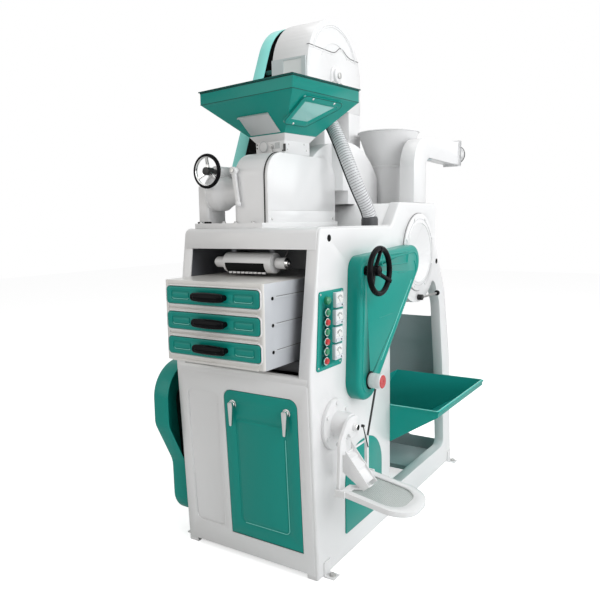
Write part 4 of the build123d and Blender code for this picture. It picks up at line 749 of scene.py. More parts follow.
CAD_FINISH: dict[Finish, tuple[str, ...]] = {
    WHITE: (
        "right_side_panel", "left_side_panel", "front_panel", "top_deck", "foot_brackets", "feed_spreader",
        "huller_side_cover", "hopper_neck", "elevator_legs", "elevator_boot", "elevator_head", "husk_duct",
        "fan_casing", "fan_cover", "rear_funnel", "fan_outlet_elbow", "outlet_chute", "screen_trough",
        "pressure_knob", "engaging_lever",
    ),
    BOX_WHITE: ("sieve_box",),
    WHITE_CAST: ("huller_housing", "huller_bearing_housing", "whitener_housing"),
    TEAL: (
        "front_door", "drawer_upper", "drawer_middle", "drawer_lower", "feed_hopper",
        "right_belt_guard", "left_belt_guard", "intake_tray", "inspection_cover", "motor", "control_panel",
    ),
    AQUA: ("elevator_belt_guard",),
    GREY: ("rear_panel", "floor_plate"),
    DARK_GREY: ("separator_bed",),
    ZINC: ("feed_gate",),
    CHROME: ("latch_left", "latch_right", "spreader_shaft"),
    BLACK: ("tension_handwheel", "gap_handwheel"),
    STEEL: ("elevator_head_pulley", "fan_impeller", "whitener_roller", "air_lever"),
    ROLL: ("fixed_roll", "moving_roll"),
    BELT: ("drive_belts",),
    HOSE: ("grain_hose",),
    PANE: ("sight_window",),
    GREEN: ("push_button_1", "push_button_3", "push_button_5"),
    RED: ("push_button_2", "push_button_4", "push_button_6"),
}


def straight(start: Point, end: Point, count: int = 2) -> np.ndarray:
    """Points at equal steps from start to end."""
    return np.linspace(np.array(start, float), np.array(end, float), count)


def strip(start: Point, end: Point, width: float, height: float, up: Point) -> Surface:
    """Flat bar of a rectangular section between two points."""
    return swept(straight(start, end), bar_section(width / 2.0, height / 2.0), up)


def sheet_box(low: Point, high: Point) -> Surface:
    """Plain block between two corners."""
    (x0, d0, z0), (x1, d1, z1) = low, high
    foot = np.array([(x0, d0, z0), (x1, d0, z0), (x1, d1, z0), (x0, d1, z0)], float)
    return Surface.grid(np.stack([foot, foot + np.array([0, 0, z1 - z0])]), wrap_columns=True, caps=True)


def filleted(spots: np.ndarray, radii: Sequence[float], steps: int = 14) -> np.ndarray:
    """Open path through spots, each inner corner replaced by an arc of the given radius.

    Args:
        spots: the corners, one per row.
        radii: one radius for each inner corner.
        steps: number of steps in each arc.

    Returns:
        The path's points.
    """
    arcs = corner_arcs(spots[1:-1], spots[:-2], spots[2:], np.array(radii, float), steps)
    return np.concatenate([spots[:1], arcs, spots[-1:]])


def run_length(path: np.ndarray) -> np.ndarray:
    """Distance along a path to each of its points."""
    return np.concatenate([[0.0], np.cumsum(np.linalg.norm(np.diff(path, axis=0), axis=1))])


def read_along(rows: np.ndarray, run: np.ndarray, along: np.ndarray) -> np.ndarray:
    """Reads rows of three values, known at the distances in run, at other distances."""
    return np.stack([np.interp(along, run, rows[:, i]) for i in range(3)], axis=-1)


def evenly(path: np.ndarray, step: float) -> np.ndarray:
    """Points at equal distances along a path."""
    run = run_length(path)
    return read_along(path, run, np.linspace(0.0, run[-1], max(2, int(run[-1] / step))))


def spline_points(spots: Sequence[Point], steps: int = 64) -> np.ndarray:
    """Points of the smooth line that a route's points control: a quadratic NURBS curve, read as a mesh.

    Args:
        spots: the route's points.
        steps: number of steps in each of the curve's spans.

    Returns:
        The line's points, one per row, in the route's units.
    """
    curve = bpy.data.curves.new("hose_line", "CURVE")
    curve.dimensions = "3D"
    curve.resolution_u = steps
    line = curve.splines.new("NURBS")
    line.points.add(len(spots) - 1)
    line.points.foreach_set("co", np.column_stack([np.array(spots, float), np.ones(len(spots))]).ravel())
    line.order_u = 3
    line.use_endpoint_u = True
    holder = bpy.data.objects.new("hose_line", curve)
    mesh = bpy.data.meshes.new_from_object(holder)
    points = np.zeros(len(mesh.vertices) * 3, np.float32)
    mesh.vertices.foreach_get("co", points)
    bpy.data.objects.remove(holder)
    bpy.data.curves.remove(curve)
    bpy.data.meshes.remove(mesh)
    return points.reshape(-1, 3).astype(float)


@dataclass
class GrainHose:
    """Clear hose with a wire coil and two dark seams, from the elevator's spout to the deck.

    The route and the length are in metres, the other sizes in mm.
    """

    radius: float = 31.0
    coil_pitch: float = 11.0
    wire: float = 1.3
    wire_step: float = 0.6
    sides: int = 40
    stub: Triple = (242.0, 611.0, 1367.0)
    length: float = 0.625
    route: tuple = (
        (-0.015, -0.111, 1.893), (0.060, -0.149, 1.797), (0.130, -0.198, 1.704), (0.182, -0.209, 1.593),
        (0.218, -0.194, 1.494), (0.236, -0.164, 1.430), (0.242, -0.143, 1.394), (0.242, -0.134, 1.366),
    )

    def build(self) -> None:
        """Builds the wall, the coil, the seams and the end cuffs."""
        line = spline_points(self.route)
        path = line / MM - np.array([0.0, FRONT_Y, 0.0])
        run = run_length(path)
        tangent = unit(np.gradient(path, axis=0))
        side = unit(np.cross(np.array([0.0, 1.0, 0.0]), tangent))
        lift = np.cross(tangent, side)
        phi = np.arange(self.sides) * 2.0 * math.pi / self.sides
        wave = np.cos(2.0 * math.pi * run[:, None] / self.coil_pitch - phi[None, :])
        reach = self.radius - 0.5 + 0.5 * wave
        points = path[:, None, :] + reach[..., None] * (
            np.cos(phi)[None, :, None] * side[:, None, :] + np.sin(phi)[None, :, None] * lift[:, None, :]
        )
        wall = Surface.grid(points, wrap_columns=True, caps=True).piece("hose_wall", HOSE)
        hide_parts("grain_hose")
        turns = np.arange(0.0, run[-1], self.wire_step)
        angle = 2.0 * math.pi * turns / self.coil_pitch
        base, across, above = (read_along(rows, run, turns) for rows in (path, side, lift))
        coil = base + (self.radius - 0.2) * (np.cos(angle)[:, None] * across + np.sin(angle)[:, None] * above)
        extras = [bead(coil, self.wire, (0.31, 0.9, 0.22), 5).piece("hose_wire", WIRE)]
        for name, tilt in (("hose_seam_a", -0.52), ("hose_seam_b", -0.86)):
            seam = path + (self.radius + 0.3) * (math.cos(tilt) * side + math.sin(tilt) * lift)
            extras.append(bead(seam, 1.7, (0.0, 1.0, 0.0), 6).piece(name, SHADOW))
        foot = [
            (36.6, -31), (36.8, -22), (36.6, -12), (36.8, -3), (35.6, 2),
            (33.4, 8), (31.4, 10), (31.2, 4), (36.2, -3), (36.2, -31),
        ]
        extras.append(turned(foot, self.stub, UP, hoop=True).piece("hose_foot_cuff", DARK_GREY))
        top = [(36.4, 0), (37.2, 1), (37.2, 13), (36.4, 14)]
        spout = path[0] - tangent[0] * 26
        extras.append(turned(top, spout, tangent[0], hoop=True).piece("hose_top_cuff", TEAL_DARK))


@dataclass
class FrontBay:
    """Inside of the separator bay, darkened with painted shade, and the spreader in its mouth."""

    inner: float = 321.0
    rear: float = 452.0
    sill: float = 640.0
    roof: float = 1333.0
    mouth: float = 112.0
    sheet: float = 2.5
    throat: Triple = (-134.0, 60.0, 268.0)
    cheek: Triple = (34.0, 792.0, 1252.0)
    shelf: Triple = (60.0, 716.0, 719.0)
    hood: Pair = (-132.0, 101.0)
    roll: Pair = (84.0, 1202.0)

    def build(self) -> None:
        """Lines the bay with dark sheets that are partly painted shade, rolls the panel's top edge, and adds
        the spreader's parts and the linkage.
        """
        x, d, low, high = self.inner, self.rear, self.sill, self.roof
        under, over = high - 3, high - 0.5
        left, right, back = self.throat
        near, foot, head = self.cheek
        sides = (-x, x - self.sheet)
        walls = [
            sheet_box((-x, d, low), (x, d + 3, high)),
            sheet_box((-x, self.mouth, under), (left, d, over)),
            sheet_box((right, self.mouth, under), (x, d, over)),
            sheet_box((left, self.mouth, under), (right, back, over)),
            *(sheet_box((side, self.mouth, low), (side + self.sheet, d, high)) for side in sides),
            *(sheet_box((side, near, foot), (side + self.sheet, self.mouth, head)) for side in sides),
            sheet_box((-x, *self.shelf[:2]), (x, d, self.shelf[2])),
        ]
        # dark lining sheets, partly painted shade of the bay's inside
        Surface.joined(walls).piece("bay_lining_and_shade", LINING_AND_SHADE)
        self._crown()
        self._spreader()
        self._linkage()

    def _crown(self) -> None:
        """Rolls the front panel's top edge over: a thin section carried across the cabinet."""
        skin = [
            (-41.0, 764), (-42.2, 776), (-41.6, 786), (-38.4, 793), (-32, 796.6), (-24, 797.6), (-18, 797),
            (-18, 795.2), (-24, 795.4), (-31, 794.4), (-36.4, 791.4), (-39.4, 785.4), (-40.0, 776),
            (-38.8, 764),
        ]
        reach = self.inner - 8.0
        ends = straight((-reach, 0, 0), (reach, 0, 0))
        swept(ends, np.array(skin), UP).piece("front_panel_crown", WHITE)

    def _spreader(self) -> None:
        """Paints shade on the feed roll inside the hood and white on its knobs, adds the nuts, a painted
        shade patch in the hood's mouth, the teeth and the stay rod, and paints shade on the spreader's top
        straps.
        """
        first, last = self.hood
        shaft = "spreader_shaft"
        x = face_centres(shaft)[:, 0]
        left_knob = (x < first - 7) & (x > first - 50)
        right_knob = (x > last + 7) & (x < last + 50)
        # painted shade: the roll's middle, inside the hood
        repaint(shaft, SHADOW, (x > first - 1) & (x < last + 1))
        repaint(shaft, WHITE, left_knob | right_knob)
        nut = [(19, -0.2), (19, 3), (15, 4), (15, 10), (12, 12), (6, 12), (6, 15), (4, 16)]
        turned(nut, (last + 52, *self.roll), RIGHT, 24).piece("spreader_nut_right", CHROME, shaft)
        turned(nut[:4], (first - 52, *self.roll), LEFT, 24).piece("spreader_nut_left", WHITE, shaft)
        # painted shade: a dark patch inside the hood's mouth
        turn = np.radians(np.linspace(0.0, 62.0, 12))
        sides = [side_arc(x0, self.roll, -40.6, turn) for x0 in (first + 12, last - 30)]
        Surface.grid(np.stack(sides)).piece("spreader_mouth_shade", SHADOW)
        starts = np.linspace(first + 22, last - 48, 9)
        teeth = [sheet_box((x0, 57, 1160), (x0 + 14, 63, 1167)) for x0 in starts]
        Surface.joined(teeth).piece("spreader_teeth", WHITE)
        # painted shade: the spreader's straps on top
        repaint("feed_spreader", LINING_AND_SHADE, face_centres("feed_spreader")[:, 2] > 1243)
        stay = straight((last + 40, 88, 1222), (last + 74, 92, 1290), 4)
        bead(stay, 4.0, REAR, 10).piece("spreader_stay", DARK_STEEL)

    def _linkage(self) -> None:
        """Adds the eccentric shaft and the slide blocks that show under the separator box."""
        shaft = bead(straight((-self.inner, 120, 800), (self.inner, 120, 800), 2), 16, UP, 20)
        blocks = [sheet_box((x0, 60, 789), (x0 + 46, 160, 826)) for x0 in (176, -222)]
        Surface.joined([shaft, *blocks]).piece("eccentric_shaft", DARK_STEEL, bevel=3.0)
        nuts = hex_bolts([(222, d, 808) for d in (84, 136)], RIGHT, 9, 8)
        nuts.piece("slide_bolts", STEEL)


@dataclass
class Separator:
    """Separator box's beads, painted shade on its right side and in its creases, its plugs, and the drawers'
    rims, black handles and painted highlights.
    """

    front: float = -180.0
    middle: float = -2.5
    right: float = 230.0
    rows: tuple[float, ...] = (1094.0, 998.0, 902.0)
    pad: float = 148.0

    def build(self) -> None:
        """Dresses the three drawers and the box's right side, whose greyer paint and crease lines carry
        painted shade.
        """
        # right side: grey paint with painted shade
        repaint("sieve_box", BOX_SIDE_AND_SHADE, face_normals("sieve_box")[:, 0] > 0.9)
        for name, z in zip(("upper", "middle", "lower"), self.rows):
            self._drawer(name, z)
            self._face(name, z)
        plug = [(6.5, 0), (6.5, 1.8), (3.9, 2.2), (3.9, 0.4)]
        plugs = [turned(plug, (self.right, -128, z), RIGHT, 20) for z in self.rows]
        Surface.joined(plugs).piece("box_plugs", SHADOW, "sieve_box")
        x = self.right + 0.2
        # painted shade: dark lines along the side's creases
        lines = [strip((x, -104, z + 5.5), (x, 378, z + 5.5), 1.6, 2.2, RIGHT) for z in self.rows]
        Surface.joined(lines).piece("box_crease_shade", SEAM, "sieve_box")

    def _drawer(self, name: str, z: float) -> None:
        """Adds a drawer's grip and a painted highlight along the lower edges of its pads.

        Args:
            name: the drawer's place.
            z: its middle height.
        """
        node = f"drawer_{name}"
        repaint(node, BLACK, face_centres(node)[:, 1] < self.front - 5.05)
        section = rectangle((-18, 18), (-15, 15), 14)
        along = np.sin(np.linspace(-math.pi / 2.0, math.pi / 2.0, 61))
        path = np.column_stack([self.middle + 76.0 * along, np.full(61, self.front - 26.0), np.full(61, z)])
        swell = (1.0 - 0.2 * along ** 2) * np.sqrt(np.maximum(1.0 - along ** 24, 2e-3))
        swept(path, section[:, ::-1], UP, swell=swell).piece(f"grip_{name}", BLACK, node)
        # painted highlight: light teal beads along the pads' lower edges
        beads = []
        for side in (-1, 1):
            x0, face = self.middle + side * self.pad, self.front - 5.2
            bends = ((-40, 9), (-36, 13.5), (36, 13.5), (40, 9))
            edge = np.array([(x0 + reach, face, z - drop) for reach, drop in bends], float)
            beads.append(bead(filleted(edge, [4, 4], 5), 1.5, REAR, 8))
        Surface.joined(beads).piece(f"pad_edge_highlights_{name}", TEAL_HIGHLIGHT, node)

    def _face(self, name: str, z: float) -> None:
        """Adds the bright rim round a drawer's bay and the two beads below it.

        Args:
            name: the drawer's place.
            z: its middle height.
        """
        rim = rectangle((-218, 218), (-33, 33), 14)
        base = (self.middle, self.front, z)
        ridge(inset(rim, -3.4), 3.0, 4.2, FRONT_SIDE, base).piece(f"bay_rim_{name}", WHITE, "sieve_box")
        rows = [z - 48.0 + s for s in (-8.0, 8.0)]
        ends = [[(self.middle + s * 204, self.front - 0.3, row) for s in (-1, 1)] for row in rows]
        section = rectangle((-5, 5), (-2.6, 2.6), 2, 4)
        beads = [swept(straight(*pair), section, REAR) for pair in ends]
        Surface.joined(beads).piece(f"face_beads_{name}", BOX_WHITE, "sieve_box")


@dataclass
class RightGuard:
    """Embossing of the right belt guard with a painted highlight on its crease, its spindle collar, the
    knob's trim with a painted shadow ring behind it, and the link rod.
    """

    face: float = 387.0
    knob: Pair = (319.0, 722.0)

    def build(self) -> None:
        """Adds the embossed lines, the painted highlight on the crease, the collar, the painted shadow ring
        behind the knob, its cap and bands, and the link rod.
        """
        base = (self.face, 0, 0)
        field = rounded([(250, 672, 58), (342, 672, 62), (806, 1138, 56), (806, 1218, 44), (282, 1192, 34)])
        slot = rounded([(430, 1176, 6), (690, 1172, 6), (700, 1219, 6), (440, 1219, 6)])
        turn = np.linspace(-1.3, 0.95, 30)
        arc = side_arc(self.face, (742, 1140), 44, turn)
        parts = [
            ridge(field, 5.0, 2.6, RIGHT_SIDE, base),
            ridge(slot, 3.6, 3.0, RIGHT_SIDE, base),
            bead(arc, 2.2, RIGHT, 8),
            bead(straight((self.face, 590, 1136), (self.face, 690, 1132), 6), 2.0, RIGHT, 8),
            bead(straight((self.face, 403, 963), (self.face, 535, 966), 6), 1.6, RIGHT, 8),
        ]
        Surface.joined(parts).piece("guard_embossing", TEAL)
        # painted highlight along the guard's crease
        crease = evenly(np.array([(self.face, 738, 1092), (self.face, 424, 784)], float), 8.0)
        bead(crease, 1.7, RIGHT, 8).piece("guard_crease_highlight", TEAL_HIGHLIGHT)
        collar = [(20, -0.2), (20, 5), (17, 7), (11, 7)]
        turned(collar, (self.face, 285, 1166), RIGHT).piece("wheel_collar", BLACK)
        # painted shadow: a dark ring on the guard round the knob's foot
        seat = [(37, -0.2), (37, 1.2), (31, 1.4)]
        turned(seat, (self.face, *self.knob), RIGHT).piece("knob_shadow_ring", SHADOW)
        cap = [(27, 0), (27.4, 1.5), (25.5, 3.4), (8, 3.6), (7.6, 2.4), (0.5, 2.4)]
        turned(cap, (441.8, *self.knob), RIGHT).piece("knob_cap", RED, "pressure_knob")
        bands = []
        for x in (396.0, 406.0, 424.0):
            band = [(30.2, x), (30.8, x + 1), (30.8, x + 5), (30.2, x + 6)]
            bands.append(turned(band, (0, *self.knob), RIGHT, hoop=True))
        Surface.joined(bands).piece("knob_bands", WHITE, "pressure_knob")
        link = straight((414, 312, 690), (409, 252, 516), 8)
        bead(link, 4.2, RIGHT, 12).piece("tension_link", DARK_STEEL)


@dataclass
class Controls:
    """Meters, lamp and button bezels of the control plate."""

    face: float = 331.0
    column: float = 100.0
    lamp_foot: float = 1050.0
    first_meter: Pair = (152.0, 1066.0)
    meter_pitch: Pair = (3.3, 66.0)
    meter_count: int = 4
    sweep: Pair = (38.0, 142.0)
    scale: Pair = (19.0, 24.0)

    def build(self) -> None:
        """Paints the plate's pieces and adds the lamp, the meters and the screws."""
        at = face_centres("control_panel")
        proud = at[:, 0] > self.face + 0.01
        bezels = proud & (at[:, 1] < self.column)
        repaint("control_panel", METER_CASE, proud & (at[:, 1] > self.column))
        repaint("control_panel", CHROME, bezels & (at[:, 2] < self.lamp_foot))
        repaint("control_panel", GREEN, bezels & (at[:, 2] > self.lamp_foot))
        dome = [(15.0, 0), (15.4, 8), (14.6, 13), (10.5, 16.5), (4.5, 18.2), (0.4, 18.6)]
        turned(dome, (self.face + 0.2, 71, 1070), RIGHT).piece("run_lamp", GREEN)
        dials, inks, hoods = [], [], []
        for number in range(self.meter_count):
            self._meter(number, dials, inks, hoods)
        Surface.joined(dials).piece("meter_dials", DIAL)
        Surface.joined(inks).piece("meter_scales", INK)
        Surface.joined(hoods).piece("meter_hoods", METER_CASE)
        spots = [(self.face, d, z) for d, z in ((14, 824), (173, 824), (34, 1094), (193, 1094))]
        screws(spots, RIGHT, 4.2).piece("plate_screws", STEEL)

    def _meter(self, number: int, dials: list[Surface], inks: list[Surface], hoods: list[Surface]) -> None:
        """Adds a meter's dial, scale, needle and hood to those made so far.

        Args:
            number: the meter's place from the top.
            dials: the dial faces.
            inks: the scales, needles and set screws.
            hoods: the hoods under the dials.
        """
        d, z = (first - step * number for first, step in zip(self.first_meter, self.meter_pitch))
        x, pivot = self.face + 14.05, z - 7
        low, high = (math.radians(angle) for angle in self.sweep)
        dial = rectangle((d - 25, d + 25), (z - 12, z + 25), 2, 3)
        dials.append(pressed(dial, [(0, 0), (0.2, 0.5), (0.6, 0.6)], RIGHT_SIDE, (x, 0, 0)))
        for reach, wide in zip(self.scale[::-1], (0.55, 0.4)):
            arc = side_arc(x + 0.7, (d, pivot), reach, np.linspace(low, high, 26))
            inks.append(swept(arc, bar_section(wide, 0.2), RIGHT))
        for a in np.linspace(low, high, 9):
            ends = [(x + 0.7, d + r * math.cos(a), pivot + r * math.sin(a)) for r in self.scale]
            inks.append(strip(*ends, 0.8, 0.4, RIGHT))
        a = math.radians(128 - 4 * number)
        tip = (x + 1.0, d + 22 * math.cos(a), pivot + 22 * math.sin(a))
        inks.append(strip((x + 1.0, d, z - 9), tip, 0.9, 0.5, RIGHT))
        hood = rectangle((d - 26, d + 26), (z - 26, z - 14), 2, 3)
        hoods.append(pressed(hood, [(0, 0), (0.3, 2.0), (1.0, 2.6)], RIGHT_SIDE, (x, 0, 0)))
        inks.append(turned([(3.4, 0), (3.4, 1.2), (2.6, 1.8)], (x + 2.4, d + 12, z - 20), RIGHT, 16))


@dataclass
class Hopper:
    """Hopper's painted shade lines at the lip and fold, sight window frame with its painted shade line, and
    the neck's small parts, turned as the hopper stands.
    """

    turn: float = -7.5
    axis: Pair = (-39.0, 355.0)
    wide: Pair = (-277.0, 230.0)
    deep: Pair = (111.0, 533.0)
    neck: Triple = (61.0, 255.0, 1716.0)
    neck_front: float = 275.0
    fold: float = 1847.0
    rim: float = 1900.0

    def build(self) -> None:
        """Adds the painted shade bands at the lip and the fold, the window's frame and the neck's parts."""
        (left, right), (near, far) = self.wide, self.deep
        edge = np.array([(left, near), (right, near), (right, far), (left, far)])
        # painted shade: dark teal bands under the lip, along the fold and at the lip's edge
        for name, z, out, half, tall in (
            ("hopper_lip_shadow", self.rim - 6.5, 0.4, 1.0, 2.2),
            ("hopper_fold_shade", self.fold, 0.1, 0.8, 0.9),
            ("hopper_lip_edge_shade", self.rim - 2.0, 5.1, 0.7, 2.0),
        ):
            ring = [inset(edge, -out * 1.42 + s) for s in (half, -half, -half, half)]
            loop = [np.column_stack([r, np.full(4, z + t)]) for r, t in zip(ring, (-tall, -tall, tall, tall))]
            band = Surface.grid(np.stack(loop), wrap_rows=True, wrap_columns=True)
            self._turned(band).piece(name, TEAL_DARK)
        self._window()
        self._neck()

    def _turned(self, flat: Surface) -> Surface:
        """Turns a surface about the neck's upright axis."""
        a = math.radians(self.turn)
        spin = np.array([(math.cos(a), math.sin(a), 0.0), (-math.sin(a), math.cos(a), 0.0), (0.0, 0.0, 1.0)])
        centre = np.array([*self.axis, 0.0])
        return Surface((flat.points - centre) @ spin + centre, flat.faces)

    def _window(self) -> None:
        """Frames the sight window on the right slope with a pressed rim, a painted shade line round it and
        three screws.
        """
        rise = np.array([self.wide[1] - self.neck[0], 0.0, self.fold - self.neck[2]])
        length = float(np.linalg.norm(rise))
        up = rise / length
        slope = Facing(REAR, tuple(up), tuple(np.cross((0.0, 1.0, 0.0), up)))
        base = (self.neck[0], 0, self.neck[2])
        low, high = 0.3 * length, 0.85 * length
        opening = rounded([(209, low, 8), (327, low, 8), (435, high, 8), (209, high, 8)], 6)
        steps = ((-16, 0.1), (-16, 6.6), (-14, 7.4), (10, 7.4), (12, 6.6), (12, 5.0))
        rings = [slope.place(inset(opening, i), np.full(len(opening), h), base) for i, h in steps]
        self._turned(Surface.grid(np.stack(rings), wrap_columns=True)).piece("window_frame", TEAL)
        # painted shade: a dark teal line round the window's frame
        trace = ridge(inset(opening, -14.5), 1.2, 1.2, slope, np.array(base) + np.array(slope.out) * 7.0)
        self._turned(trace).piece("window_frame_shade_line", TEAL_DARK)
        seats = ((252, high + 6), (385, high + 6), (250, low - 6))
        spots = [slope.place(np.array(seat, float), np.array(7.3), base) for seat in seats]
        self._turned(screws(spots, slope.out, 5.0)).piece("window_screws", CHROME)

    def _neck(self) -> None:
        """Adds the neck's disc rim, latch lever, corner strap and screws."""
        front = self.neck_front
        dark = [(x, front, z) for x, z in ((-113, 1669), (-88, 1659), (11, 1674), (-113, 1683), (30, 1650))]
        self._turned(screws(dark, AHEAD, 3.4)).piece("neck_front_screws", DARK_STEEL)
        side = [(41, d, z) for d, z in ((292, 1655), (300, 1676), (414, 1658), (400, 1682))]
        self._turned(screws(side, RIGHT, 4.0)).piece("neck_side_screws", STEEL)
        disc = [(22.6, 4.0), (23.2, 5.2), (20.5, 5.8), (20.0, 5.2)]
        self._turned(turned(disc, (-73, front, 1672), AHEAD, 32, True)).piece("neck_disc_rim", ZINC)
        button = [(9, -0.2), (9, 5), (7, 6.5), (3.5, 6.5), (3.5, 10), (2, 11)]
        hub = turned(button, (-28, front, 1670), AHEAD, 24)
        handle = bead(straight((-28, front - 8, 1670), (-14, front - 12, 1649), 5), 3.0, REAR)
        self._turned(Surface.joined([hub, handle])).piece("neck_latch", STEEL)
        plate = rectangle((-12, 16), (1660, 1684), 2, 3)
        cover = pressed(plate, [(0, -0.2), (0, 1.2), (0.5, 1.6)], FRONT_SIDE, (0, front, 0))
        self._turned(cover).piece("neck_plate", ZINC)
        strap = sheet_box((36, front - 2.4, 1646), (43.4, front + 5, 1676))
        self._turned(strap).piece("neck_strap", DARK_STEEL)


@dataclass
class Huller:
    """Huller's dark cover seam, bolts, lever pivot, bell ring and the chromed front wheel."""

    joint: float = 35.0
    front: float = 110.0
    top: float = 1637.0
    bend: float = 100.0
    foot: float = 1358.0
    wheel: Triple = (-216.0, 1568.0, 70.0)
    wheel_hub: float = 16.5

    def build(self) -> None:
        """Adds the seam, the bolts and the rings, and paints the wheel."""
        bends = ((self.front, self.foot), (self.front, self.top), (258, self.top))
        spots = np.array([(self.joint, d, z) for d, z in bends], float)
        path = evenly(filleted(spots, [self.bend], 24), 4.0)
        section = rectangle((-2.0, 2.0), (-1.2, 1.2), 0.5, 3)
        swept(path, section[:, ::-1], RIGHT).piece("cover_seam", SHADOW)
        seats = [(x, 96, self.foot) for x in (-100, -14)] + [(-270, 84, self.foot), (-150, 84, self.foot)]
        hex_bolts(seats, UP, 7, 6).piece("plinth_bolts", STEEL)
        side = [(50, d, 1372) for d in (138, 618)]
        screws(side, RIGHT, 6).piece("cover_screws", STEEL)
        pivot = [(9, 0), (9, 3), (7, 4.4), (5, 4.4), (5, 2.5), (0.4, 2.5)]
        turned(pivot, (-104, 87.6, 1566), AHEAD, 24).piece("lever_pivot", STEEL, "engaging_lever")
        ring = [(78.2, 0), (80.5, 1.2), (80.5, 8.8), (78.2, 10)]
        turned(ring, (-258, 170, 1485), RIGHT, 64, True).piece("bell_flange", WHITE_CAST)
        pads = [sheet_box((x, 106, self.foot), (x + 20, 132, self.foot + 7)) for x in (-312, -276)]
        Surface.joined(pads).piece("bracket_pads", SHADOW, bevel=2.0)
        x0, z0, radius = self.wheel
        at = face_centres("gap_handwheel")
        reach = np.hypot(at[:, 0] - x0, at[:, 2] - z0)
        repaint("gap_handwheel", CHROME, (reach < radius - 12.5) & (reach > self.wheel_hub))
        repaint("gap_handwheel", DARK_STEEL, reach <= self.wheel_hub)


@dataclass
class Elevator:
    """Head seam, embossed arcs, bearing and front cover of the elevator head with its frame in painted shade,
    and painted shade in its guard's inside.
    """

    right: float = -53.0
    centre: Pair = (842.0, 2053.0)
    front: float = 583.0
    hump: float = 893.0
    guard_foot: Pair = (470.0, 1540.0)

    def build(self) -> None:
        """Adds the seam, the embossing, the bearing and the front cover with its painted shade frame, and
        paints shade in the guard's inside.
        """
        d0, z0 = self.centre
        depth = np.linspace(604.0, 1076.0, 120)
        away = depth - self.hump
        rise = 33.0 * np.exp(-np.where(depth < self.hump, away / 42, away / 58) ** 2)
        level = 2154.0 + 0.018 * (depth - 604.0) + rise
        path = np.column_stack([np.full(120, self.right + 0.2), depth, level])
        bead(path, 1.8, RIGHT, 8).piece("head_seam", SEAM)
        bead(path - np.array([0, 0, 10.0]), 1.5, RIGHT, 8).piece("head_seam_lip", WHITE)
        strip((-66, 604.6, 2155), (-53, 604.6, 2155), 5, 2, UP).piece("head_seam_end", SEAM)
        arcs = []
        for reach, low, high in ((232, 25, 155), (222, 25, 155), (150, 40, 150)):
            turn = np.radians(np.linspace(low, high, 50))
            arcs.append(bead(side_arc(self.right, self.centre, reach, turn), 2.4, RIGHT, 8))
        Surface.joined(arcs).piece("head_embossing", WHITE)
        corners = ((-50, -50, 14), (50, -50, 14), (50, 50, 50), (-50, 50, 50))
        plate = rounded([(d0 + u, z0 + v, radius) for u, v, radius in corners])
        plate = pressed(plate, [(0, -0.5), (0, 5), (2, 7)], RIGHT_SIDE, (self.right, 0, 0))
        plate.piece("head_bearing_plate", WHITE)
        boss = [(34, 6.8), (34, 16), (31, 19), (19, 20), (17, 20)]
        turned(boss, (self.right, d0, z0), RIGHT).piece("head_bearing", WHITE_CAST)
        seats = [(self.right + 7, d0 + side, z0 - 36) for side in (-38, 38)]
        hex_bolts(seats, RIGHT, 7, 6).piece("head_bearing_bolts", STEEL)
        self._cover()
        self._guard()

    def _cover(self) -> None:
        """Frames the head's front opening with a frame in painted shade and closes it with a plain white
        cover.
        """
        base = (0, self.front, 0)
        outer = rectangle((-244, -59), (1910, 2101), 3, 4)
        inner = rectangle((-180, -81), (1925, 2092), 2, 4)
        steps = ((outer, -0.5), (outer, 6.0), (inner, 6.0), (inner, 2.0))
        rings = [FRONT_SIDE.place(loop, np.full(len(loop), height), base) for loop, height in steps]
        Surface.grid(np.stack(rings), wrap_columns=True).piece("head_front_frame", FRAME_SHADE, bevel=1.0)
        pressed(inner, [(0, -0.5), (0, 3.0)], FRONT_SIDE, base).piece("head_front_cover", WHITE)

    def _guard(self) -> None:
        """Paints shade on the open inside of the belt guard, which runs from the head's axis to its foot."""
        at = face_centres("elevator_belt_guard")
        way = face_normals("elevator_belt_guard")
        start, end = np.array(self.centre), np.array(self.guard_foot)
        run = end - start
        along = np.clip(((at[:, 1:] - start) @ run) / (run @ run), 0.0, 1.0)
        away = at[:, 1:] - start - along[:, None] * run
        inward = (away * way[:, 1:]).sum(-1) < -1.0
        back = (way[:, 0] > 0.9) & (at[:, 0] < -300)
        # painted shade on the guard's open inside
        repaint("elevator_belt_guard", SHADOW, inward | back)


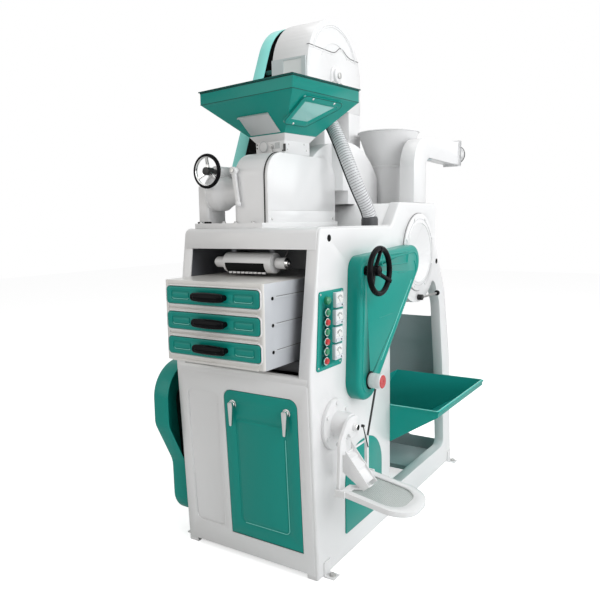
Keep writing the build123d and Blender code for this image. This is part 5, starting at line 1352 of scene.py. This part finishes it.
@dataclass
class FanTop:
    """Fan cover's shade lines, the funnel's shade lines, the elbow's damper and the painted shade ring in its
    collar, and the panel plugs.
    """

    right: float = 327.0
    elbow: float = 337.0
    funnel: Pair = (106.0, 1100.0)
    cover: Pair = (963.0, 1204.0)

    def build(self) -> None:
        """Adds the collar's painted shade ring, the damper, the plugs and the painted shade lines, and paints
        the air lever.
        """
        # painted shade: a dark ring inside the collar's open end
        ring = [(50.4, 0), (51.6, 1), (51.6, 7), (50.4, 8)]
        turned(ring, (287, 1600, 1717.5), REAR, hoop=True).piece("collar_shade_ring", SHADOW)
        stem = bead(straight((287, 1120, 1632), (287, 1120, 1660), 3), 5, REAR)
        wing = strip((287, 1098, 1636), (287, 1142, 1630), 5, 14, RIGHT)
        Surface.joined([stem, wing]).piece("damper_wing", STEEL, bevel=1.5)
        plate = rectangle((258, 316), (1082, 1170), 10, 4)
        pressed(plate, [(0, 0), (0, 4), (1, 5)], TOP_SIDE, (0, 0, 1655)).piece("damper_plate", GREY)
        plug = [(13, -0.5), (13, 1.2), (11, 2.2), (4, 2.6)]
        plugs = [turned(plug, (self.right, d, z), RIGHT, 24) for d, z in ((105, 1298), (1209, 1146))]
        Surface.joined(plugs).piece("panel_plugs", SHADOW)
        turn = np.radians(np.linspace(0.0, 360.0, 120))[:-1]
        # painted shade lines round the fan cover
        for name, reach, wide, lift, finish in (
            ("fan_cover_gap", 187.5, 1.6, 0.3, SEAM), ("fan_cover_step", 160.0, 1.0, 8.2, CREASE),
        ):
            arc = side_arc(self.right + lift, self.cover, reach, turn)
            section = bar_section(wide, 0.5)[:, ::-1]
            swept(arc, section, RIGHT, closed=True).piece(name, finish)
        rim = [(152.5, 0), (154.2, 1.0), (154.2, 5.0), (152.5, 6)]
        turned(rim, (*self.funnel, 1794.5), UP, 72, True).piece("funnel_rim_line", CREASE)
        seam = [(92.4, 0), (93.4, 0.8), (93.4, 2.2), (92.4, 3)]
        turned(seam, (*self.funnel, 1625.5), UP, 60, True).piece("funnel_seam_line", CREASE)
        x, d = self.elbow + 1.4, 1537.8
        strip((x, d, 1653), (x, d, 1781), 2.0, 2.0, RIGHT).piece("elbow_plate_line", CREASE)
        at = face_centres("air_lever")
        repaint("air_lever", BLACK, at[:, 1] > 1158)
        repaint("air_lever", DARK_STEEL, at[:, 1] < 990)


@dataclass
class Outlet:
    """Whitener outlet: the trough's screen and edging, the arm's bolt and the catch rod.

    On the tilted trough, u runs away from the cabinet and v to the rear.
    """

    tilt: float = 9.0
    seat: Triple = (425.0, 0.0, 384.0)
    tip: float = 227.0
    bend: float = 72.0
    middle: float = 119.0
    flat_end: float = 23.0
    half: float = 95.0
    mesh: float = 6.0
    bay: Triple = (-34.0, 132.0, 94.0)
    arm_bolt: Triple = (422.0, 127.0, 587.0)

    def build(self) -> None:
        """Adds the screen, its edging, the arm's socket bolt with painted shade in its socket, and the catch
        rod.
        """
        a = math.radians(self.tilt)
        along = np.array([math.cos(a), 0.0, -math.sin(a)])
        out = np.array([math.sin(a), 0.0, math.cos(a)])
        origin = np.array(self.seat) - out * 9.6
        ends = [
            (origin + (along * u0 + (0, v0, 0)), origin + (along * u1 + (0, v1, 0)))
            for (u0, v0), (u1, v1) in self._wires()
        ]
        wires = [strip(start, end, 1.3, 1.0, UP) for start, end in ends]
        Surface.joined(wires).piece("screen_wires", SCREEN_WIRE)
        self._edging(along, out)
        at = face_centres("screen_trough")
        x, z = at[:, 0] - self.seat[0], at[:, 2] - self.seat[2]
        height = x * out[0] + z * out[2]
        reach = x * along[0] + z * along[2]
        inside = (reach > 22.5) & (reach < self.tip + 0.5) & (at[:, 1] > 24.5) & (at[:, 1] < 213.5)
        repaint("screen_trough", SCREEN, inside & (height < -9.5) & (height > -12.6))
        head = [(13, 0), (13, 9), (11.5, 10.5), (7, 10.5), (7, 4), (0.4, 4)]
        turned(head, self.arm_bolt, RIGHT, 24).piece("arm_bolt", CHROME)
        # painted shade: a dark disc in the bolt's socket
        socket = [(10.4, 9), (10.4, 10.8), (0.4, 10.8)]
        turned(socket, self.arm_bolt, RIGHT, 24).piece("arm_bolt_socket_shade", SHADOW)
        rod = bead(straight((418, 197, 568), (421, 232, 476), 4), 2.4, RIGHT)
        eye = turned([(6, 0), (6, 9), (4, 11)], (410, 200, 570), RIGHT, 20)
        Surface.joined([rod, eye]).piece("catch_rod", DARK_STEEL)

    def _wires(self) -> list[tuple[Pair, Pair]]:
        """Both ends of each screen wire, cut off at the round tip and at the bay on the near side.

        Returns:
            Pairs of (u, v) points, first the wires along the trough, then those across it.
        """
        u0, v0, reach = self.bay
        round_start = self.tip - self.bend
        wires = []
        for v in np.arange(30.0, 212.0, self.mesh):
            first = max(24.0, u0 + math.sqrt(max(0.0, reach ** 2 - (v - v0) ** 2)))
            past = max(0.0, abs(v - self.middle) - self.flat_end)
            wires.append(((first, v), (round_start + math.sqrt(self.bend ** 2 - past ** 2), v)))
        for u in np.arange(27.0, self.tip - 2.0, self.mesh):
            half = self.half
            if u >= round_start:
                half = self.flat_end + math.sqrt(self.bend ** 2 - (u - self.tip + self.bend) ** 2)
            low, high = self.middle - half, self.middle + half
            gap = math.sqrt(max(0.0, reach ** 2 - (u - u0) ** 2))
            cuts = [(low, v0 - gap), (v0 + gap, high)] if gap else [(low, high)]
            wires.extend(((u, near), (u, far)) for near, far in cuts if far - near > 2.0)
        return wires

    def _edging(self, along: np.ndarray, out: np.ndarray) -> None:
        """Rolls a round bar along the screen's outline, with the bay's arc on the near side.

        Args:
            along: the trough's own direction away from the cabinet.
            out: the way out of the screen.
        """
        u0, v0, reach = self.bay
        half = math.acos((22.0 - u0) / reach)
        turn = np.linspace(-half, half, 24)
        low, high = v0 - reach * math.sin(half), v0 + reach * math.sin(half)
        spots = [(22, high), (22, 213), (self.tip - 1, 213), (self.tip - 1, 25), (22, 25), (22, low)]
        flat = np.array([(u, v, 0.0) for u, v in spots], float)
        outline = filleted(flat, [2.4, 70, 70, 6], 16)
        arc = np.stack([u0 + reach * np.cos(turn), v0 + reach * np.sin(turn), np.zeros(24)], -1)
        loop = np.concatenate([outline, arc[1:-1]])
        radius, rearward = 4.6, np.array([0.0, 1.0, 0.0])
        path = np.array(self.seat) + loop[:, :1] * along + loop[:, 1:2] * rearward - radius * out
        swept(path, circle(radius, 10), tuple(out), closed=True).piece("screen_edging", WHITE)


@dataclass
class FrontSheet:
    """Folds along the foot of the door's groove and of the pressed recess beside it; the door's fold is a
    light teal painted highlight.
    """

    lean: float = math.atan2(40.0, 800.0)
    groove_x: Pair = (-20.5, 206.5)
    groove_s: Pair = (159.5, 545.0)
    recess_x: Pair = (-270.0, -114.0)
    recess_s: Pair = (114.0, 640.0)

    def build(self) -> None:
        """Adds one fold with a painted highlight on the door and one plain white fold on the front panel."""
        left, right = self.groove_x
        low, high = self.groove_s
        # painted highlight: light teal fold on the door
        door = self._fold([(left + 14, low), (right, low), (right, high)], [20], 1.9, 1.8)
        door.piece("door_fold_highlight", TEAL_HIGHLIGHT, "front_door")
        left, right = self.recess_x
        low, high = self.recess_s
        panel = self._fold([(left, low + 200), (left, low), (right, low), (right, high)], [28, 28], 1.0, 2.4)
        panel.piece("recess_fold", WHITE)

    def _fold(
        self, corners: Sequence[Pair], radii: Sequence[float], height: float, radius: float
    ) -> Surface:
        """Lays a round bead along a bent line on the leaning front.

        Args:
            corners: the line's ends and corners, across and up the front.
            radii: the radius of each corner.
            height: the bead's middle, out from the front's foot plane.
            radius: the bead's radius.

        Returns:
            The bead.
        """
        sine, cosine = math.sin(self.lean), math.cos(self.lean)
        front = Facing(RIGHT, (0, -sine, cosine), (0, -cosine, -sine))
        spots = front.place(np.array(corners, float), np.full(len(corners), height), (0, 0, 0))
        return bead(filleted(spots, radii), radius, front.out, 8)


@dataclass
class Fixings:
    """Intake tray's rim with a painted highlight, its inside with painted light, and the foot bolts."""

    tray_x: Pair = (330.0, 553.0)
    tray_d: Pair = (640.0, 1284.0)
    tray_z: float = 530.0
    tray_middle: Pair = (251.0, 963.0)

    def build(self) -> None:
        """Edges the tray with a painted highlight, paints light onto its inside, and adds the bolts."""
        (left, right), (near, far) = self.tray_x, self.tray_d
        corners = ((left, near), (right, near), (right, far), (left, far))
        # painted highlight: a light teal bead along the tray's rim
        rim = filleted(np.array([(x, d, self.tray_z) for x, d in corners]), [6, 6], 6)
        bead(rim, 2.4, UP, 8).piece("tray_rim_highlight", TEAL_HIGHLIGHT)
        at, way = face_centres("intake_tray"), face_normals("intake_tray")
        inward = ((np.array(self.tray_middle) - at[:, :2]) * way[:, :2]).sum(-1) > 0.0
        # painted light: a brighter teal on the tray's inner and upward faces
        repaint("intake_tray", TEAL_PAINTED_LIGHT, inward | (way[:, 2] > 0.15))
        feet = [(side * 353, d, 5) for side in (-1, 1) for d in (60, 1430)]
        hex_bolts(feet, UP, 10, 9).piece("foot_bolts", STEEL)


@dataclass
class Studio:
    """Floor, lights and camera."""

    floor_half: float = 14.0
    floor_lift: float = 0.66
    fill: float = 0.36
    lens: float = 38.0
    eye: Triple = (1.502, -2.671, 1.360)
    yaw: float = 32.75
    pitch: float = 7.06
    roll: float = 0.94

    def build(self) -> None:
        """Sets up the whole stage."""
        self._floor()
        self._world()
        self._lamps()
        self._camera()

    def _floor(self) -> None:
        """A pale floor that stays white to the camera away from the object's shadow."""
        corners = [(x, y, 0) for x, y in bar_section(self.floor_half, self.floor_half).tolist()]
        mesh = bpy.data.meshes.new("studio_floor")
        mesh.from_pydata(corners, [], [(0, 1, 2, 3)])
        floor = bpy.data.objects.new("studio_floor", mesh)
        bpy.context.scene.collection.objects.link(floor)
        material = bpy.data.materials.new("studio_floor")
        material.use_nodes = True
        build = NodeBuilder(material.node_tree)
        shader = material.node_tree.nodes["Principled BSDF"]
        build.fill(shader, {
            "Base Color": (0.86, 0.86, 0.86, 1.0), "Roughness": 0.8, "Specular IOR Level": 0.0,
            "Emission Color": (1.0, 1.0, 1.0, 1.0),
        })
        path = build.add("ShaderNodeLightPath")
        lift = build.add("ShaderNodeMath", operation="MULTIPLY")
        lift.inputs[1].default_value = self.floor_lift
        build.wire(
            (path, "Is Camera Ray", lift, 0), (lift, 0, shader, "Emission Strength"),
        )
        mesh.materials.append(material)

    def _world(self) -> None:
        """White surroundings: plain fill light, and pure white to the camera, also through clear pieces."""
        world = bpy.data.worlds.new("studio")
        bpy.context.scene.world = world
        world.use_nodes = True
        build = NodeBuilder(world.node_tree)
        back = world.node_tree.nodes["Background"]
        back.inputs["Color"].default_value = (1.0, 1.0, 1.0, 1.0)
        path = build.add("ShaderNodeLightPath")
        clear = build.add("ShaderNodeMath", operation="MAXIMUM")
        seen = build.add("ShaderNodeMath", operation="MAXIMUM")
        level = build.add("ShaderNodeMapRange", To_Min=self.fill, To_Max=1.0)
        build.wire(
            (path, "Is Camera Ray", clear, 0), (path, "Is Transmission Ray", clear, 1),
            (clear, 0, seen, 0), (path, "Is Glossy Ray", seen, 1), (seen, 0, level, "Value"),
            (level, "Result", back, "Strength"),
        )

    @staticmethod
    def _lamp(name: str, place: Triple, aim: Triple, size: float, watts: float, tint: Triple) -> None:
        """Adds a square area lamp.

        Args:
            name: the lamp's name.
            place: its position in metres.
            aim: the point that it faces.
            size: its side in metres.
            watts: its power.
            tint: its colour.
        """
        data = bpy.data.lights.new(name, "AREA")
        data.color = tint
        data.size = size
        data.energy = watts
        lamp = bpy.data.objects.new(name, data)
        lamp.location = place
        lamp.rotation_euler = (Vector(aim) - Vector(place)).to_track_quat("-Z", "Y").to_euler()
        bpy.context.scene.collection.objects.link(lamp)

    def _lamps(self) -> None:
        """A broad key from the right, a front fill, a top light and two weak lamps behind and low."""
        self._lamp("key_right", (4.8, -1.4, 3.2), (0.0, 0.0, 1.1), 4.2, 158.0, (0.97, 0.98, 1.0))
        self._lamp("fill_front", (-2.2, -4.6, 2.6), (0.0, 0.0, 1.0), 3.0, 32.0, (1.0, 0.96, 0.90))
        self._lamp("top", (0.6, 0.4, 5.0), (0.0, 0.1, 1.0), 3.4, 58.0, (1.0, 1.0, 1.0))
        self._lamp("rear_right", (3.6, 2.6, 2.6), (0.0, 0.3, 1.2), 2.6, 30.0, (0.97, 0.99, 1.0))
        self._lamp("low_right", (3.4, 0.2, 0.9), (0.2, 0.2, 0.5), 1.8, 9.0, (0.98, 0.99, 1.0))

    def _camera(self) -> None:
        """The photograph's viewpoint: yaw about Z, pitch down, then roll about the view line."""
        yaw, pitch, roll = (math.radians(v) for v in (self.yaw, self.pitch, self.roll))
        ahead = Vector((-math.sin(yaw) * math.cos(pitch), math.cos(yaw) * math.cos(pitch), -math.sin(pitch)))
        right = Vector((math.cos(yaw), math.sin(yaw), 0.0))
        down = ahead.cross(right)
        across = right * math.cos(roll) + down * math.sin(roll)
        below = down * math.cos(roll) - right * math.sin(roll)
        turn = Matrix((across, -below, -ahead)).transposed()
        data = bpy.data.cameras.new("photo_view")
        data.lens = self.lens
        data.sensor_width = 36.0
        data.sensor_fit = "HORIZONTAL"
        camera = bpy.data.objects.new("photo_view", data)
        camera.matrix_world = Matrix.Translation(self.eye) @ turn.to_4x4()
        bpy.context.scene.collection.objects.link(camera)
        bpy.context.scene.camera = camera


def main() -> None:
    """Builds the scene."""
    logging.basicConfig(level=logging.WARNING)
    bpy.context.scene.view_settings.view_transform = "Standard"
    for finish, nodes in CAD_FINISH.items():
        for node in nodes:
            dress(node, finish)
    parts = (
        GrainHose, FrontBay, Separator, RightGuard, Controls, Hopper,
        Huller, Elevator, FanTop, Outlet, FrontSheet, Fixings,
    )
    for part in parts:
        part().build()
    Studio().build()


if __name__ == "__main__":
    main()
